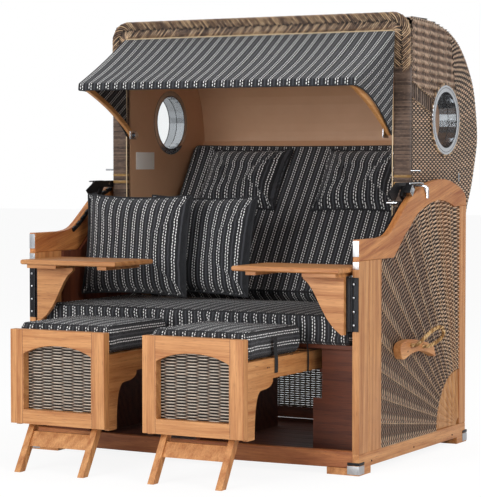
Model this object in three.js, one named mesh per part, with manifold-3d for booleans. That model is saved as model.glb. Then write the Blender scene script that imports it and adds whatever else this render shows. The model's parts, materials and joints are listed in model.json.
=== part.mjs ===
// Two-seat hooded beach chair: a wooden base with pleated wicker sides, a wicker hood that reclines
// about two pivots, two pull-out footrests on folding legs, two swinging side tables and an awning.
// Millimetres. +X is right as seen from the front, +Y to the back, +Z up. Heights start at the
// ground and depths at the front face of the posts, until the last lines centre the whole chair.

import * as THREE from 'three';
import { mergeVertices } from 'three/addons/utils/BufferGeometryUtils.js';
import Module from 'manifold-3d';

const wasm = await Module();
wasm.setup();

// Driving dimensions of the base
const overallWidth = 1390;
const frameThickness = 26;
const baseDepth = 978;
const seatGap = 0.3;
const footHeight = 25;
const footLength = 98;
const footReach = 125;
const rearFootOverhang = 12;
const bottomRailHeight = 50;
const postBoardDepth = 84;
const secondBoardDepth = 101;
const grooveWidth = 5;
const grooveDepth = 3;
const rearPostDepth = 63;
const edgeRound = 2;

// Arm rail, with its outlines as shares of the base depth and of each outline's own rise
const armFrontHeight = 828;
const armFrontDepth = 75;
const armTopRise = 204;
const armUnderRise = 201;
const armTopShares = [
    [0.18, 0], [0.235, 0.03], [0.28, 0.113], [0.35, 0.348], [0.44, 0.652], [0.53, 0.822],
    [0.63, 0.935], [0.74, 1], [0.83, 0.975], [0.93, 0.85], [0.985, 0.73],
];
const armUnderShares = [
    [0.299, 0], [0.334, 0.124], [0.398, 0.378], [0.444, 0.517], [0.49, 0.68], [0.537, 0.796],
    [0.632, 0.935], [0.73, 1], [0.831, 0.935], [0.93, 0.8],
];
const armTailHeight = 30;
const armTailSlope = 19;

// Pleated wicker sides and the carved fans in their lower rear corners
const pleatCount = 12;
const wickerThickness = 15;
const wickerRecess = 2;
const pleatDepth = 6;
const fanRadius = 208;
const fanRayCount = 9;
const fanScallop = 9;
const fanFluteDepth = 5;
const fanThickness = 20;

// Upholstered inner side boards, which carry the hood's pivots
const sideBoardThickness = 12;
const sideBoardClearance = 13;
const sideBoardSetback = 73;
const sideBoardPivotDrop = 70;

// Seat carcass
const plinthHeight = 60;
const plinthThickness = 22;
const plinthSetback = 6;
const plinthBow = 30;
const floorThickness = 20;
const floorBoardCount = 9;
const floorClearance = 5;
const deckTop = 450;
const deckThickness = 14;
const deckFront = 60;
const deckRearGap = 80;
const boardThickness = 18;
const fasciaStepHeight = 255;
const fasciaUpperGap = 37;
const fasciaLowerGap = 2;
const fasciaDepth = 80;
const runnerFront = 172;
const runnerThickness = 18;
const rearFrameTop = 385;
const rearFrameThickness = 35;
const rearFrameMember = 45;
const rearWickerThickness = 8;

// Seat cushion and loose pillows
const seatCushionFront = 30;
const seatCushionGap = 160;
const seatCushionMargin = 11.7;
const seatCushionHeight = 118;
const cushionCrown = 12;
const cushionRound = 34;
const cushionDrawIn = 9;
const throwPillowWidth = 478;
const throwPillowHeight = 396;
const throwPillowThickness = 130;
const throwPillowDrawIn = 16;
const throwPillowBackShare = 0.5;
const pillowSeam = 6;
const frontPillowMargin = 6;
const frontPillowLead = 224;
const pillowGap = 3;
const frontPillowTilt = 7;
const rearPillowShift = 205;
const rearPillowTilt = 12;

// Adjustment rails on the arms and rope handles on the sides
const adjustRailThickness = 7;
const adjustRailHeight = 16;
const adjustRailShares = [
    [0.255, 0.05], [0.3, 0.17], [0.35, 0.348], [0.4, 0.53], [0.45, 0.675], [0.5, 0.772], [0.545, 0.842],
];
const notchCount = 9;
const notchDepth = 5;
const notchShare = 0.45;
const handleThickness = 30;
const handleLength = 323;
const handleHeight = 83;
const handleFront = 291;
const handleBottom = 367;
const handleOutlineShares = [
    [0, 0.6], [0.02, 0.82], [0.1, 0.95], [0.25, 1], [0.47, 0.94], [0.9, 0.6], [0.97, 0.3], [1, 0.02],
    [0.86, 0.2], [0.66, 0.38], [0.47, 0.42], [0.3, 0.36], [0.14, 0.2], [0.05, 0.24],
];
const ropeDiameter = 16;
const ropeClearance = 0.6;
const ropeHoleShares = [[0.303, 0.74], [0.64, 0.6]];
const ropeRoute = [
    [742, 393, 431], [752, 424, 449], [755, 490, 472], [755, 560, 484], [754, 604, 477], [754, 613, 458],
    [754, 590, 441], [754, 540, 429], [742, 502, 418],
];

// Side tables on tall hinges at the front posts
const tableLength = 420;
const tableDepth = 268;
const tableThickness = 18;
const tableTop = 731;
const tableFront = 105;
const tableRound = 4;
const battenThickness = 14;
const battenMargin = 16;
const innerBattenWidth = 40;
const outerBattenWidth = 130;
const innerBattenOffset = 48;
const bracketThickness = 18;
const bracketTopLength = 160;
const bracketHeight = 205;
const bracketTip = 10;
const bracketUpperShares = [0.35, 0.2];
const bracketLowerShares = [0.42, 0.75];
const leafHeight = 190;
const leafThickness = 3;
const leafWidth = 20;
const leafDrop = 3;
const leafShown = 18;
const knuckleRadius = 5;
const knuckleCount = 5;
const hingePinRadius = 2.4;
const hingeClearance = 0.4;

// Hood, with its side outline as shares of its depth and of its height above the pivots
const hoodSideClearance = 19;
const hoodReach = 258;
const hoodDepth = 681;
const hoodHeight = 1656;
const hoodOutlineShares = [
    [0.15, 0.9835], [0.3, 0.9794], [0.44, 0.9684], [0.57, 0.9519], [0.7, 0.9204], [0.8, 0.8778],
    [0.88, 0.8284], [0.94, 0.7762], [0.975, 0.7103], [0.996, 0.6499], [1, 0.6128], [0.99, 0.5812],
    [0.95, 0.5125], [0.903, 0.4444], [0.843, 0.3855], [0.715, 0.2146], [0.584, 0.0416],
];
const hoodSideThickness = 38;
const hoodEdgeRound = 10;
const hoodShellThickness = 24;
const hoodEdgeDepth = 30;
const hoodEdgeWidth = 68;
const hoodEdgeProud = 2;
const hoodEdgeTopWidth = 67;
const hoodEdgeBottom = 790;
const hoodEdgeSoftness = 4;
const hoodCornerRadius = 38;
const liningThickness = 28;
const roofLiningThickness = 26;
const backrestBottomGap = 79;
const backrestBottomRise = 77;
const backrestTopShare = 0.6095;
const backrestThickness = 18;

// Hood pivots
const pivotSetback = 198;
const pivotRadius = 18;
const pivotBossRadius = 52;

// Round windows
const windowReach = 344;
const windowDrop = 396;
const windowRadius = 113;
const windowFlange = 27;
const windowFlangeThickness = 6;
const windowInnerFlange = 20;
const windowTubeThickness = 4;
const paneThickness = 4;
const roundSteps = 28;

// Cushions in the hood
const backCushionThickness = 92;
const backCushionMargin = 7.7;
const backCushionLift = 10;
const backCushionTopGap = 73.3;
const headPillowWidth = 380;
const headPillowHeight = 300;
const headPillowThickness = 72;
const headPillowOffset = 272;
const headPillowDrawIn = 8;
const headPillowBackShare = 0.12;
const headPillowDrop = 24;

// Latches between hood and arms
const latchPlateThickness = 4;
const latchPlateHeight = 65;
const latchPlateReach = 220;
const latchPlateRise = 13;
const latchPlateShares = [[1, 1], [0.3, 1], [0, 0.43], [0.13, 0], [0.27, 0], [0.445, 0.6], [1, 0.6]];
const latchKnobRadius = 5;
const latchKnobLength = 26;
const latchKnobShares = [0.19, 0.22];
const latchRodRadius = 5;
const latchRodSetback = 22;
const latchRodLift = 20.4;
const latchRodReach = 27;
const latchRodDrop = 45;
const latchBend = 14;

// Awning
const awningPivotSetback = 13;
const awningPivotDrop = 451;
const awningArmInset = 19;
const awningArmThickness = 16;
const awningArmHeight = 20;
const awningArmBow = 14;
const awningBarReach = 324;
const awningBarDrop = 272;
const awningBarRadius = 11;
const awningPinRadius = 6;
const clothThickness = 4;
const clothInset = 38;
const clothTopDrop = 72;
const clothSag = 10;
const clothFold = 4;
const clothFoldCount = 6;
const valanceDrop = 26;
const gussetLowestDrop = 457;
const gussetSpread = 2;
const gussetCurve = 1.9;

// Footrests
const footrestGap = 69;
const footrestWidth = 396;
const footrestInset = 2;
const panelFront = 439;
const panelThickness = 33;
const panelLap = 8;
const panelTop = 503;
const panelStileWidth = 55;
const panelOpeningBottom = 217;
const panelTopRailWidth = 86;
const panelArchRise = 32;
const panelArchShare = 0.6;
const panelWickerThickness = 8;
const panelWickerMargin = 8;
const boxRear = 260;
const boxTopClearance = 12;
const boxRailHeight = 57;
const boxGussetLength = 184;
const boxGussetDrop = 34;
const boxTongueLength = 51;
const boxTongueDrop = 22;
const slatCount = 8;
const slatThickness = 12;
const slatWidth = 48;
const footCushionHeight = 104;
const footCushionRear = 4;
const footCushionMargin = 6;
const footCushionRound = 27;
const legHingeSetback = 67;
const legHingeHeight = 180;
const legToeLead = 40;
const legInset = 65;
const legWidth = 24;
const legThickness = 28;
const legDowelRadius = 8;
const legBarHeight = 50;
const legBarThickness = 14;
const legBarCentre = 112;

const half = overallWidth / 2;
const innerFace = half - frameThickness;
const railTop = footHeight + bottomRailHeight;
const frontPostDepth = postBoardDepth + secondBoardDepth;
const armUnderHeight = armFrontHeight - armFrontDepth;
const reach = innerFace - seatGap;
const pivotDepth = baseDepth - pivotSetback;
const pivotHeight = deckTop;
const hoodFront = pivotDepth - hoodReach;
const deckRear = pivotDepth - deckRearGap;
const overrun = 1;

// Finishes
const finish = (color, roughness, metalness = 0) =>
    new THREE.MeshStandardMaterial({ color, roughness, metalness });
const wood = finish(0xb9793f, 0.5);
const wicker = finish(0x6b5648, 0.75);
const cloth = finish(0x3a3d45, 0.95);
const leatherette = finish(0x7d6553, 0.6);
const steel = finish(0xd4d6d8, 0.2, 1);
const blackSteel = finish(0x1c1c1e, 0.45, 0.8);
const rope = finish(0xd9b98a, 0.9);
const glazing = finish(0xdfe6e8, 0.05);

const chair = new THREE.Group();

function add(name, geometry, material) {
    const mesh = new THREE.Mesh(geometry, material);
    mesh.name = name;
    chair.add(mesh);
    return mesh;
}

// Closed solids and booleans

function merged(geometry) {
    const bare = geometry.clone();
    bare.deleteAttribute('normal');
    bare.deleteAttribute('uv');
    return mergeVertices(bare);
}

function toSolid(geometry) {
    const bare = merged(geometry);
    return new wasm.Manifold(new wasm.Mesh({
        numProp: 3,
        vertProperties: new Float32Array(bare.attributes.position.array),
        triVerts: new Uint32Array(bare.index.array),
    }));
}

function fromSolid(solid) {
    const { vertProperties, triVerts } = solid.getMesh();
    const geometry = new THREE.BufferGeometry();
    geometry.setAttribute('position', new THREE.BufferAttribute(vertProperties, 3));
    geometry.setIndex(new THREE.BufferAttribute(triVerts, 1));
    return geometry;
}

function join(...geometries) {
    return fromSolid(geometries.map(toSolid).reduce((whole, next) => whole.add(next)));
}

function cut(geometry, ...cutters) {
    return fromSolid(cutters.map(toSolid).reduce((whole, next) => whole.subtract(next), toSolid(geometry)));
}

function trim(geometry, envelope) {
    return fromSolid(toSolid(geometry).intersect(toSolid(envelope)));
}

function signedVolume(geometry) {
    const { array } = geometry.attributes.position;
    const corner = (index) => new THREE.Vector3().fromArray(array, 3 * geometry.index.getX(index));
    let volume = 0;
    for (let face = 0; face < geometry.index.count; face += 3) {
        volume += corner(face).dot(corner(face + 1).cross(corner(face + 2))) / 6;
    }
    return volume;
}

function flipped(geometry) {
    const { array } = geometry.index;
    for (let face = 0; face < array.length; face += 3) {
        [array[face], array[face + 1]] = [array[face + 1], array[face]];
    }
    return geometry;
}

function outward(geometry) {
    return signedVolume(geometry) < 0 ? flipped(geometry) : geometry;
}

// The left-hand twin of a right-hand shape
function mirrored(geometry) {
    const twin = merged(geometry);
    twin.scale(-1, 1, 1);
    return flipped(twin);
}

const sides = [
    { name: 'right', sign: 1, place: (geometry) => geometry },
    { name: 'left', sign: -1, place: mirrored },
];

function addPair(name, geometry, material) {
    return sides.map((side) => add(`${name}_${side.name}`, side.place(geometry), material));
}

// Outlines and extrusions

const point = (first, second) => new THREE.Vector2(first, second);
const splineThrough = (points, steps) => new THREE.SplineCurve(points).getPoints(steps);
const rectangle = (left, right, low, high) =>
    [point(left, low), point(right, low), point(right, high), point(left, high)];
const shapeOf = (outline) => (outline instanceof THREE.Shape ? outline : new THREE.Shape(outline));

const [axisX, axisY, axisZ] = [[1, 0, 0], [0, 1, 0], [0, 0, 1]].map((axis) => new THREE.Vector3(...axis));
const alongXFrame = new THREE.Matrix4().makeBasis(axisY, axisZ, axisX);
const alongYFrame = new THREE.Matrix4().makeBasis(axisX, axisZ, axisY.clone().negate());

function extrude(outline, length, bevel, holes, bevelSegments) {
    const shape = shapeOf(outline);
    shape.holes.push(...holes);
    return new THREE.ExtrudeGeometry(shape, {
        depth: length - 2 * bevel,
        bevelEnabled: bevel > 0,
        bevelThickness: bevel,
        bevelSize: bevel,
        bevelOffset: -bevel,
        bevelSegments,
        curveSegments: roundSteps / 4,
    });
}

// An outline in Y and Z, from one X to another
function alongX(outline, from, to, { bevel = 0, holes = [], bevelSegments = 1 } = {}) {
    return extrude(outline, to - from, bevel, holes, bevelSegments)
        .applyMatrix4(alongXFrame).translate(from + bevel, 0, 0);
}

// An outline in X and Z, from one Y to another
function alongY(outline, from, to, { bevel = 0, holes = [] } = {}) {
    return extrude(outline, to - from, bevel, holes, 1).applyMatrix4(alongYFrame).translate(0, to - bevel, 0);
}

// An outline in X and Y, from one Z to another
function alongZ(outline, from, to, { bevel = 0, holes = [] } = {}) {
    return extrude(outline, to - from, bevel, holes, 1).translate(0, 0, from + bevel);
}

function block(x, y, z) {
    return new THREE.BoxGeometry(x[1] - x[0], y[1] - y[0], z[1] - z[0])
        .translate((x[0] + x[1]) / 2, (y[0] + y[1]) / 2, (z[0] + z[1]) / 2);
}

function rodAlongX(radius, from, to, depth, height, steps = 12) {
    return new THREE.CylinderGeometry(radius, radius, to - from, steps)
        .rotateZ(Math.PI / 2).translate((from + to) / 2, depth, height);
}

function rodAlong(path, radius, edges, steps) {
    const section = Array.from({ length: edges }, (_, edge) => {
        const angle = Math.PI * (2 * edge + 1) / edges;
        return point(radius * Math.cos(angle), radius * Math.sin(angle));
    });
    return new THREE.ExtrudeGeometry(shapeOf(section), { extrudePath: path, steps, bevelEnabled: false });
}

function circleHole(centre, radius, steps = roundSteps) {
    const hole = new THREE.Path();
    hole.setFromPoints(Array.from({ length: steps }, (_, step) => {
        const angle = -2 * Math.PI * step / steps;
        return point(centre.x + radius * Math.cos(angle), centre.y + radius * Math.sin(angle));
    }));
    return hole;
}

// The same outline moved to its left by a distance
function offsetOutline(points, distance) {
    return points.map((here, index) => {
        const before = points[Math.max(index - 1, 0)];
        const after = points[Math.min(index + 1, points.length - 1)];
        const along = after.clone().sub(before).normalize();
        return point(here.x - along.y * distance, here.y + along.x * distance);
    });
}

// Where an outline passes a height: the greatest first coordinate there
function rearmostAt(points, height) {
    const crossings = points.slice(1).flatMap((end, index) => {
        const start = points[index];
        const share = (height - start.y) / (end.y - start.y);
        return share >= 0 && share <= 1 ? [start.x + share * (end.x - start.x)] : [];
    });
    return Math.max(...crossings);
}

// Height of a line of points at a depth
function heightAt(points, depth) {
    return rearmostAt(points.map(({ x, y }) => point(y, x)), depth);
}

// A closed body from two grids of points, joined round their borders
function twoFaced(rows, columns, place) {
    const positions = [];
    for (const face of [0, 1]) {
        for (let row = 0; row <= rows; row += 1) {
            for (let column = 0; column <= columns; column += 1) {
                positions.push(...place(row, column, face));
            }
        }
    }
    const at = (face, row, column) => (face * (rows + 1) + row) * (columns + 1) + column;
    const indices = [];
    const quad = (a, b, c, d) => indices.push(a, b, c, a, c, d);
    for (let row = 0; row < rows; row += 1) {
        for (let column = 0; column < columns; column += 1) {
            quad(...[[0, 0], [1, 0], [1, 1], [0, 1]].map(([down, over]) => at(1, row + down, column + over)));
            quad(...[[0, 0], [0, 1], [1, 1], [1, 0]].map(([down, over]) => at(0, row + down, column + over)));
        }
    }
    for (let row = 0; row < rows; row += 1) {
        quad(at(0, row, 0), at(0, row + 1, 0), at(1, row + 1, 0), at(1, row, 0));
        quad(at(1, row, columns), at(1, row + 1, columns), at(0, row + 1, columns), at(0, row, columns));
    }
    for (let column = 0; column < columns; column += 1) {
        quad(at(1, 0, column), at(1, 0, column + 1), at(0, 0, column + 1), at(0, 0, column));
        quad(at(0, rows, column), at(0, rows, column + 1), at(1, rows, column + 1), at(1, rows, column));
    }
    const geometry = new THREE.BufferGeometry();
    geometry.setAttribute('position', new THREE.Float32BufferAttribute(positions, 3));
    geometry.setIndex(indices);
    return outward(geometry);
}

// Soft shapes

// Grid lines from edge to edge: close together in the rounded edge, even between
const softBendShare = 0.29;

function softLines(size, round, inner) {
    const edge = size / 2;
    const bend = [edge, edge - softBendShare * round, edge - round];
    const flat = edge - round;
    const middle = Array.from({ length: inner - 1 }, (_, step) => flat * (1 - 2 * (step + 1) / inner));
    return [...bend, ...middle, ...bend.map((value) => -value).reverse()].reverse();
}

// A box cushion: rounded edges, a crown on top and sides drawn in between the corners
function boxCushion({ width, depth, height, inner, crown = cushionCrown, round = cushionRound }) {
    const sizes = [width, depth, height];
    const radius = Math.min(round, height / 2.2);
    const lines = sizes.map((size, axis) => softLines(size, radius, inner[axis]));
    const counts = lines.map((line) => line.length - 1);
    const geometry = merged(new THREE.BoxGeometry(1, 1, 1, ...counts));
    const { position } = geometry.attributes;
    const seat = new THREE.Vector3();
    const core = new THREE.Vector3();
    for (let index = 0; index < position.count; index += 1) {
        const raw = [position.getX(index), position.getY(index), position.getZ(index)];
        seat.fromArray(raw.map((value, axis) => lines[axis][Math.round((value + 0.5) * counts[axis])]));
        core.fromArray(seat.toArray().map((value, axis) => {
            const limit = sizes[axis] / 2 - radius;
            return THREE.MathUtils.clamp(value, -limit, limit);
        }));
        const outer = seat.clone().sub(core);
        if (outer.length() > 0) {
            outer.setLength(radius);
            seat.copy(core).add(outer);
        }
        const across = 1 - (2 * seat.x / width) ** 2;
        const along = 1 - (2 * seat.y / depth) ** 2;
        const lift = seat.z / height + 0.5;
        seat.x -= Math.sign(seat.x) * cushionDrawIn * along * (1 - across);
        seat.y -= Math.sign(seat.y) * cushionDrawIn * across * (1 - along);
        seat.z += crown * across * along * lift;
        position.setXYZ(index, seat.x, seat.y, seat.z + height / 2);
    }
    return outward(geometry);
}

// Height of such a cushion's top over its base, at a place measured from its middle
function crownAt({ width, depth, height, crown = cushionCrown }, x, y) {
    const [across, along] = [1 - (2 * x / width) ** 2, 1 - (2 * y / depth) ** 2];
    return across < 0 || along < 0 ? 0 : height + crown * across * along;
}

// Lowers a pillow along Z until its lowest point meets the cushion that lies at a place in its own group
function restOn(mesh, cushion, { x, y, z }) {
    mesh.updateMatrix();
    const { position } = mesh.geometry.attributes;
    const corner = new THREE.Vector3();
    let rise = -Infinity;
    for (let index = 0; index < position.count; index += 1) {
        corner.fromBufferAttribute(position, index).applyMatrix4(mesh.matrix);
        rise = Math.max(rise, z + crownAt(cushion, corner.x - x, corner.y - y) - corner.z);
    }
    mesh.position.z += rise + seatGap;
}

// A loose pillow: thick in the middle, thin at the seam, its edges drawn in between the corners
function pillow({ width, height, thickness, seam, drawIn, backShare, steps }) {
    return twoFaced(steps, steps, (row, column, face) => {
        const [u, v] = [column, row].map((step) => Math.sin(Math.PI * (step / steps - 0.5)));
        const puff = Math.sqrt((1 - u ** 4) * (1 - v ** 4));
        const side = face === 0 ? -backShare : 1 - backShare;
        return [
            u * (width / 2 - drawIn * (1 - v * v)),
            v * (height / 2 - drawIn * (1 - u * u)),
            side * (seam + (thickness - seam) * puff),
        ];
    });
}

// Base: side frames

const armTop = splineThrough(
    armTopShares.map(([depth, rise]) => point(depth * baseDepth, armFrontHeight + rise * armTopRise)), 22);
const armUnder = splineThrough(
    armUnderShares.map(([depth, rise]) => point(depth * baseDepth, armUnderHeight + rise * armUnderRise)),
    20,
).slice(0, -1);
const armTailUnder = armTop.at(-1).y - armTailHeight - armTailSlope;

function bottomRail() {
    const rail = alongX(rectangle(0, baseDepth, footHeight, railTop), innerFace, half, { bevel: edgeRound });
    const seat = footHeight + edgeRound;
    const foot = [
        point(half - footReach, 0), point(half, 0), point(half, seat), point(innerFace, seat),
        point(innerFace, footHeight), point(half - footReach, footHeight),
    ];
    const rearEnd = baseDepth + rearFootOverhang;
    return join(rail, alongY(foot, 0, footLength), alongY(foot, rearEnd - footLength, rearEnd));
}

// Two boards with a groove between them on the outer face
function frontPost() {
    const outline = [
        point(innerFace, 0), point(half, 0),
        point(half, postBoardDepth - grooveWidth / 2), point(half - grooveDepth, postBoardDepth),
        point(half, postBoardDepth + grooveWidth / 2),
        point(half, frontPostDepth), point(innerFace, frontPostDepth),
    ];
    return alongZ(outline, railTop + seatGap, armUnderHeight - seatGap);
}

function rearPost() {
    const outline = rectangle(
        baseDepth - rearPostDepth, baseDepth, railTop + seatGap, armTailUnder - seatGap);
    return alongX(outline, innerFace, half, { bevel: edgeRound });
}

function armRail() {
    const tail = armTop.at(-1);
    const outline = [
        point(0, armUnderHeight), point(0, armFrontHeight), ...armTop,
        point(baseDepth, tail.y - armTailSlope), point(baseDepth, armTailUnder),
        point(baseDepth - rearPostDepth - seatGap, armTailUnder), ...[...armUnder].reverse(),
    ];
    return alongX(outline.reverse(), innerFace, half, { bevel: edgeRound });
}

// Distance from the fan's corner to the frame's opening, along a ray
const fanCorner = point(baseDepth - rearPostDepth - seatGap, railTop + seatGap);
const panelFrontEdge = frontPostDepth + seatGap;
const panelRoof = [
    point(panelFrontEdge, armUnderHeight - seatGap),
    ...armUnder.map(({ x, y }) => point(x, y - seatGap)).filter(({ x }) => x < fanCorner.x),
    point(fanCorner.x, armTailUnder - seatGap),
];
const cornerSlack = 30;
const rayTolerance = 1e-6;

function reachAlong(angle) {
    const [dy, dz] = [Math.cos(angle), Math.sin(angle)];
    let nearest = dy < 0 ? (panelFrontEdge - fanCorner.x) / dy : Infinity;
    for (let index = 1; index < panelRoof.length; index += 1) {
        const start = panelRoof[index - 1];
        const [ey, ez] = [panelRoof[index].x - start.x, panelRoof[index].y - start.y];
        const across = dy * ez - dz * ey;
        const [sy, sz] = [start.x - fanCorner.x, start.y - fanCorner.y];
        const distance = (sy * ez - sz * ey) / across;
        const share = (sy * dz - sz * dy) / across;
        if (distance > 0 && share >= -rayTolerance && share <= 1 + rayTolerance) {
            nearest = Math.min(nearest, distance);
        }
    }
    return nearest;
}

const cornerAngle = Math.atan2(armUnderHeight - seatGap - fanCorner.y, panelFrontEdge - fanCorner.x);
const pleatStep = Math.PI / 4 / pleatCount;

// Rays from the vertical to the horizontal: pleat folds, and the frame's upper front corner
const pleatAngles = Array.from({ length: 2 * pleatCount + 1 }, (_, step) => Math.PI / 2 + step * pleatStep);
const clearAngles = pleatAngles.filter((angle) => Math.abs(angle - cornerAngle) > pleatStep / 8);
const rayAngles = [...clearAngles, cornerAngle]
    .sort((a, b) => a - b);

function sideWicker() {
    const radialSteps = 3;
    const outer = half - wickerRecess;
    const pleats = twoFaced(rayAngles.length - 1, radialSteps, (row, column, face) => {
        const angle = rayAngles[row];
        const fold = Math.abs(((angle - Math.PI / 2) / pleatStep) % 2 - 1);
        const start = fanRadius + seatGap + fanScallop;
        const radius = start + (reachAlong(angle) + cornerSlack - start) * column / radialSteps;
        const depth = face === 0 ? wickerThickness : pleatDepth * fold * Math.sqrt(column / radialSteps);
        const [along, up] = [radius * Math.cos(angle), radius * Math.sin(angle)];
        return [outer - depth, fanCorner.x + along, fanCorner.y + up];
    });
    const opening = [fanCorner, ...[...panelRoof].reverse(), point(panelFrontEdge, fanCorner.y)];
    return trim(pleats, alongX(opening, innerFace, half));
}

// A carved quarter sun: fluted rays that end in scallops
function cornerFan() {
    const stepsPerRay = 4;
    const steps = fanRayCount * stepsPerRay;
    const radialSteps = 2;
    const hub = fanRadius / 8;
    const outer = half - wickerRecess;
    return twoFaced(steps, radialSteps, (row, column, face) => {
        const angle = Math.PI / 2 * (1 + row / steps);
        const bulge = Math.sin(Math.PI * (row % stepsPerRay) / stepsPerRay);
        const scallop = fanScallop * (face === 0 ? 1 : bulge);
        const radius = hub + (fanRadius - hub + scallop) * column / radialSteps;
        const flute = fanFluteDepth * (1 - bulge) * Math.min(1, 2 * column / radialSteps);
        return [
            outer - (face === 0 ? fanThickness : flute),
            fanCorner.x + radius * Math.cos(angle),
            fanCorner.y + radius * Math.sin(angle),
        ];
    });
}

const sideBoardX = [reach - sideBoardThickness, reach];
const sideBoardFront = tableDepth - tableFront + sideBoardClearance;
const sideBoardRear = baseDepth - sideBoardSetback;
const pivot = point(pivotDepth, pivotHeight);

function sideBoard() {
    const [low, lowest] = [deckTop + seatGap, pivotHeight - sideBoardPivotDrop];
    const stepDepth = deckRear + seatGap;
    const outline = [
        point(sideBoardFront, low), point(stepDepth, low),
        point(stepDepth, lowest), point(sideBoardRear, lowest),
        point(sideBoardRear, armTailUnder), ...armUnder.filter(({ x }) => x < sideBoardRear).reverse(),
        point(sideBoardFront, armUnderHeight),
    ];
    return alongX(outline, ...sideBoardX, { holes: [circleHole(pivot, pivotRadius + seatGap)] });
}

addPair('bottom_rail', bottomRail(), wood);
addPair('front_post', frontPost(), wood);
addPair('rear_post', rearPost(), wood);
addPair('arm_rail', armRail(), wood);
addPair('side_wicker', sideWicker(), wicker);
addPair('corner_fan', cornerFan(), wood);
addPair('side_board', sideBoard(), leatherette);

// Base: plinth, floor, carcass and rear wall

function plinth() {
    const steps = 10;
    const face = (offset) => Array.from({ length: steps + 1 }, (_, step) => {
        const share = 2 * step / steps - 1;
        return point(reach * share, plinthSetback - plinthBow * (1 - share * share) + offset);
    });
    const low = footHeight + seatGap;
    const outline = [...face(0), ...face(plinthThickness).reverse()];
    return alongZ(outline, low, low + plinthHeight, { bevel: edgeRound });
}

const floorTop = footHeight + floorClearance + floorThickness;
const rearFrameFront = baseDepth - rearFrameThickness;

function floor() {
    const [front, back] = [plinthSetback + plinthThickness + seatGap, rearFrameFront - seatGap];
    const boardDepth = (back - front) / floorBoardCount;
    const top = Array.from({ length: floorBoardCount - 1 }, (_, board) => {
        const joint = front + boardDepth * (board + 1);
        return [
            point(joint - grooveWidth / 2, floorTop), point(joint, floorTop - grooveDepth),
            point(joint + grooveWidth / 2, floorTop),
        ];
    }).flat().reverse();
    const low = floorTop - floorThickness;
    return alongX(
        [point(front, low), point(back, low), point(back, floorTop), ...top, point(front, floorTop)],
        -reach, reach,
    );
}

const footrestOffset = (boardThickness + footrestWidth) / 2 + footrestGap;
const footrestOuter = footrestOffset + footrestWidth / 2;
const fasciaUpperInner = footrestOuter + fasciaUpperGap;
const fasciaLowerInner = footrestOuter + fasciaLowerGap;
const boxSideTop = deckTop - deckThickness - boxTopClearance - slatThickness;

// Floor and seat deck, tied by a middle divider, two outer ones with runners and stepped boards in front
const runnerTop = boxSideTop - boxRailHeight - seatGap;

function seatCarcass() {
    const low = floorTop - overrun;
    const deckUnder = deckTop - deckThickness;
    const walls = [low, deckUnder + overrun];
    const deck = block([-reach, reach], [deckFront, deckRear], [deckUnder, deckTop]);
    const middle = block([-boardThickness / 2, boardThickness / 2], [fasciaDepth, deckRear], walls);
    const parts = [floor(), deck, middle];
    for (const { place } of sides) {
        const fascia = alongY([
            point(fasciaLowerInner, low), point(reach, low), point(reach, deckUnder + overrun),
            point(fasciaUpperInner, deckUnder + overrun), point(fasciaUpperInner, fasciaStepHeight),
            point(fasciaLowerInner, fasciaStepHeight),
        ], fasciaDepth, fasciaDepth + boardThickness);
        const divider = block(
            [fasciaUpperInner, fasciaUpperInner + boardThickness], [fasciaDepth, deckRear], walls);
        const runnerZ = [runnerTop - runnerThickness, runnerTop];
        const outerRunner = block(
            [footrestOuter - runnerThickness, fasciaUpperInner + overrun],
            [runnerFront, deckRear], runnerZ);
        const innerRunner = block(
            [boardThickness / 2 - overrun, footrestOffset - footrestWidth / 2 + runnerThickness],
            [runnerFront, deckRear], runnerZ);
        parts.push(...[fascia, divider, outerRunner, innerRunner].map(place));
    }
    return join(...parts);
}

// A wicker field held by a wooden frame
function rearPanel() {
    const field = (inset) => rectangle(inset - reach, reach - inset, floorTop + inset, rearFrameTop - inset);
    const holes = [new THREE.Path(field(rearFrameMember))];
    const frame = alongY(field(0), rearFrameFront, baseDepth, { holes });
    const fieldFront = rearFrameFront + rearWickerThickness;
    return join(frame, alongY(field(rearFrameMember - overrun), fieldFront, fieldFront + rearWickerThickness));
}

add('front_plinth', plinth(), wood);
add('seat_carcass', seatCarcass(), wood);
add('rear_panel', rearPanel(), wicker);

// Seat cushion and the two loose pillows on the left seat

const seatCushionWidth = 2 * (sideBoardX[0] - seatCushionMargin);
const seatCushionDepth = pivotDepth - seatCushionGap - seatCushionFront;
const seatCushionForm = {
    width: seatCushionWidth, depth: seatCushionDepth, height: seatCushionHeight, inner: [7, 4, 1],
};
const seatCushion = add('seat_cushion', boxCushion(seatCushionForm), cloth);
seatCushion.position.set(0, seatCushionFront + seatCushionDepth / 2, deckTop + seatGap);

const throwPillow = {
    width: throwPillowWidth, height: throwPillowHeight, thickness: throwPillowThickness,
    seam: pillowSeam, drawIn: throwPillowDrawIn, backShare: throwPillowBackShare, steps: 10,
};
const frontPillowDepth = hoodFront - frontPillowLead;
const frontPillowAcross = frontPillowMargin + (throwPillowWidth - seatCushionWidth) / 2;
const pillowPoses = [
    {
        name: 'throw_pillow_front', across: frontPillowAcross, depth: frontPillowDepth,
        tilt: frontPillowTilt,
    },
    {
        name: 'throw_pillow_rear', across: frontPillowAcross + rearPillowShift,
        depth: frontPillowDepth + throwPillowThickness + pillowGap, tilt: rearPillowTilt,
    },
];
for (const { name, across, depth, tilt } of pillowPoses) {
    const loose = add(name, pillow(throwPillow), cloth);
    loose.rotation.x = Math.PI / 2 - THREE.MathUtils.degToRad(tilt);
    loose.position.set(across, depth, 0);
    restOn(loose, seatCushionForm, seatCushion.position);
}

// Adjustment rails: a notched strip along the slope of each arm

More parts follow.
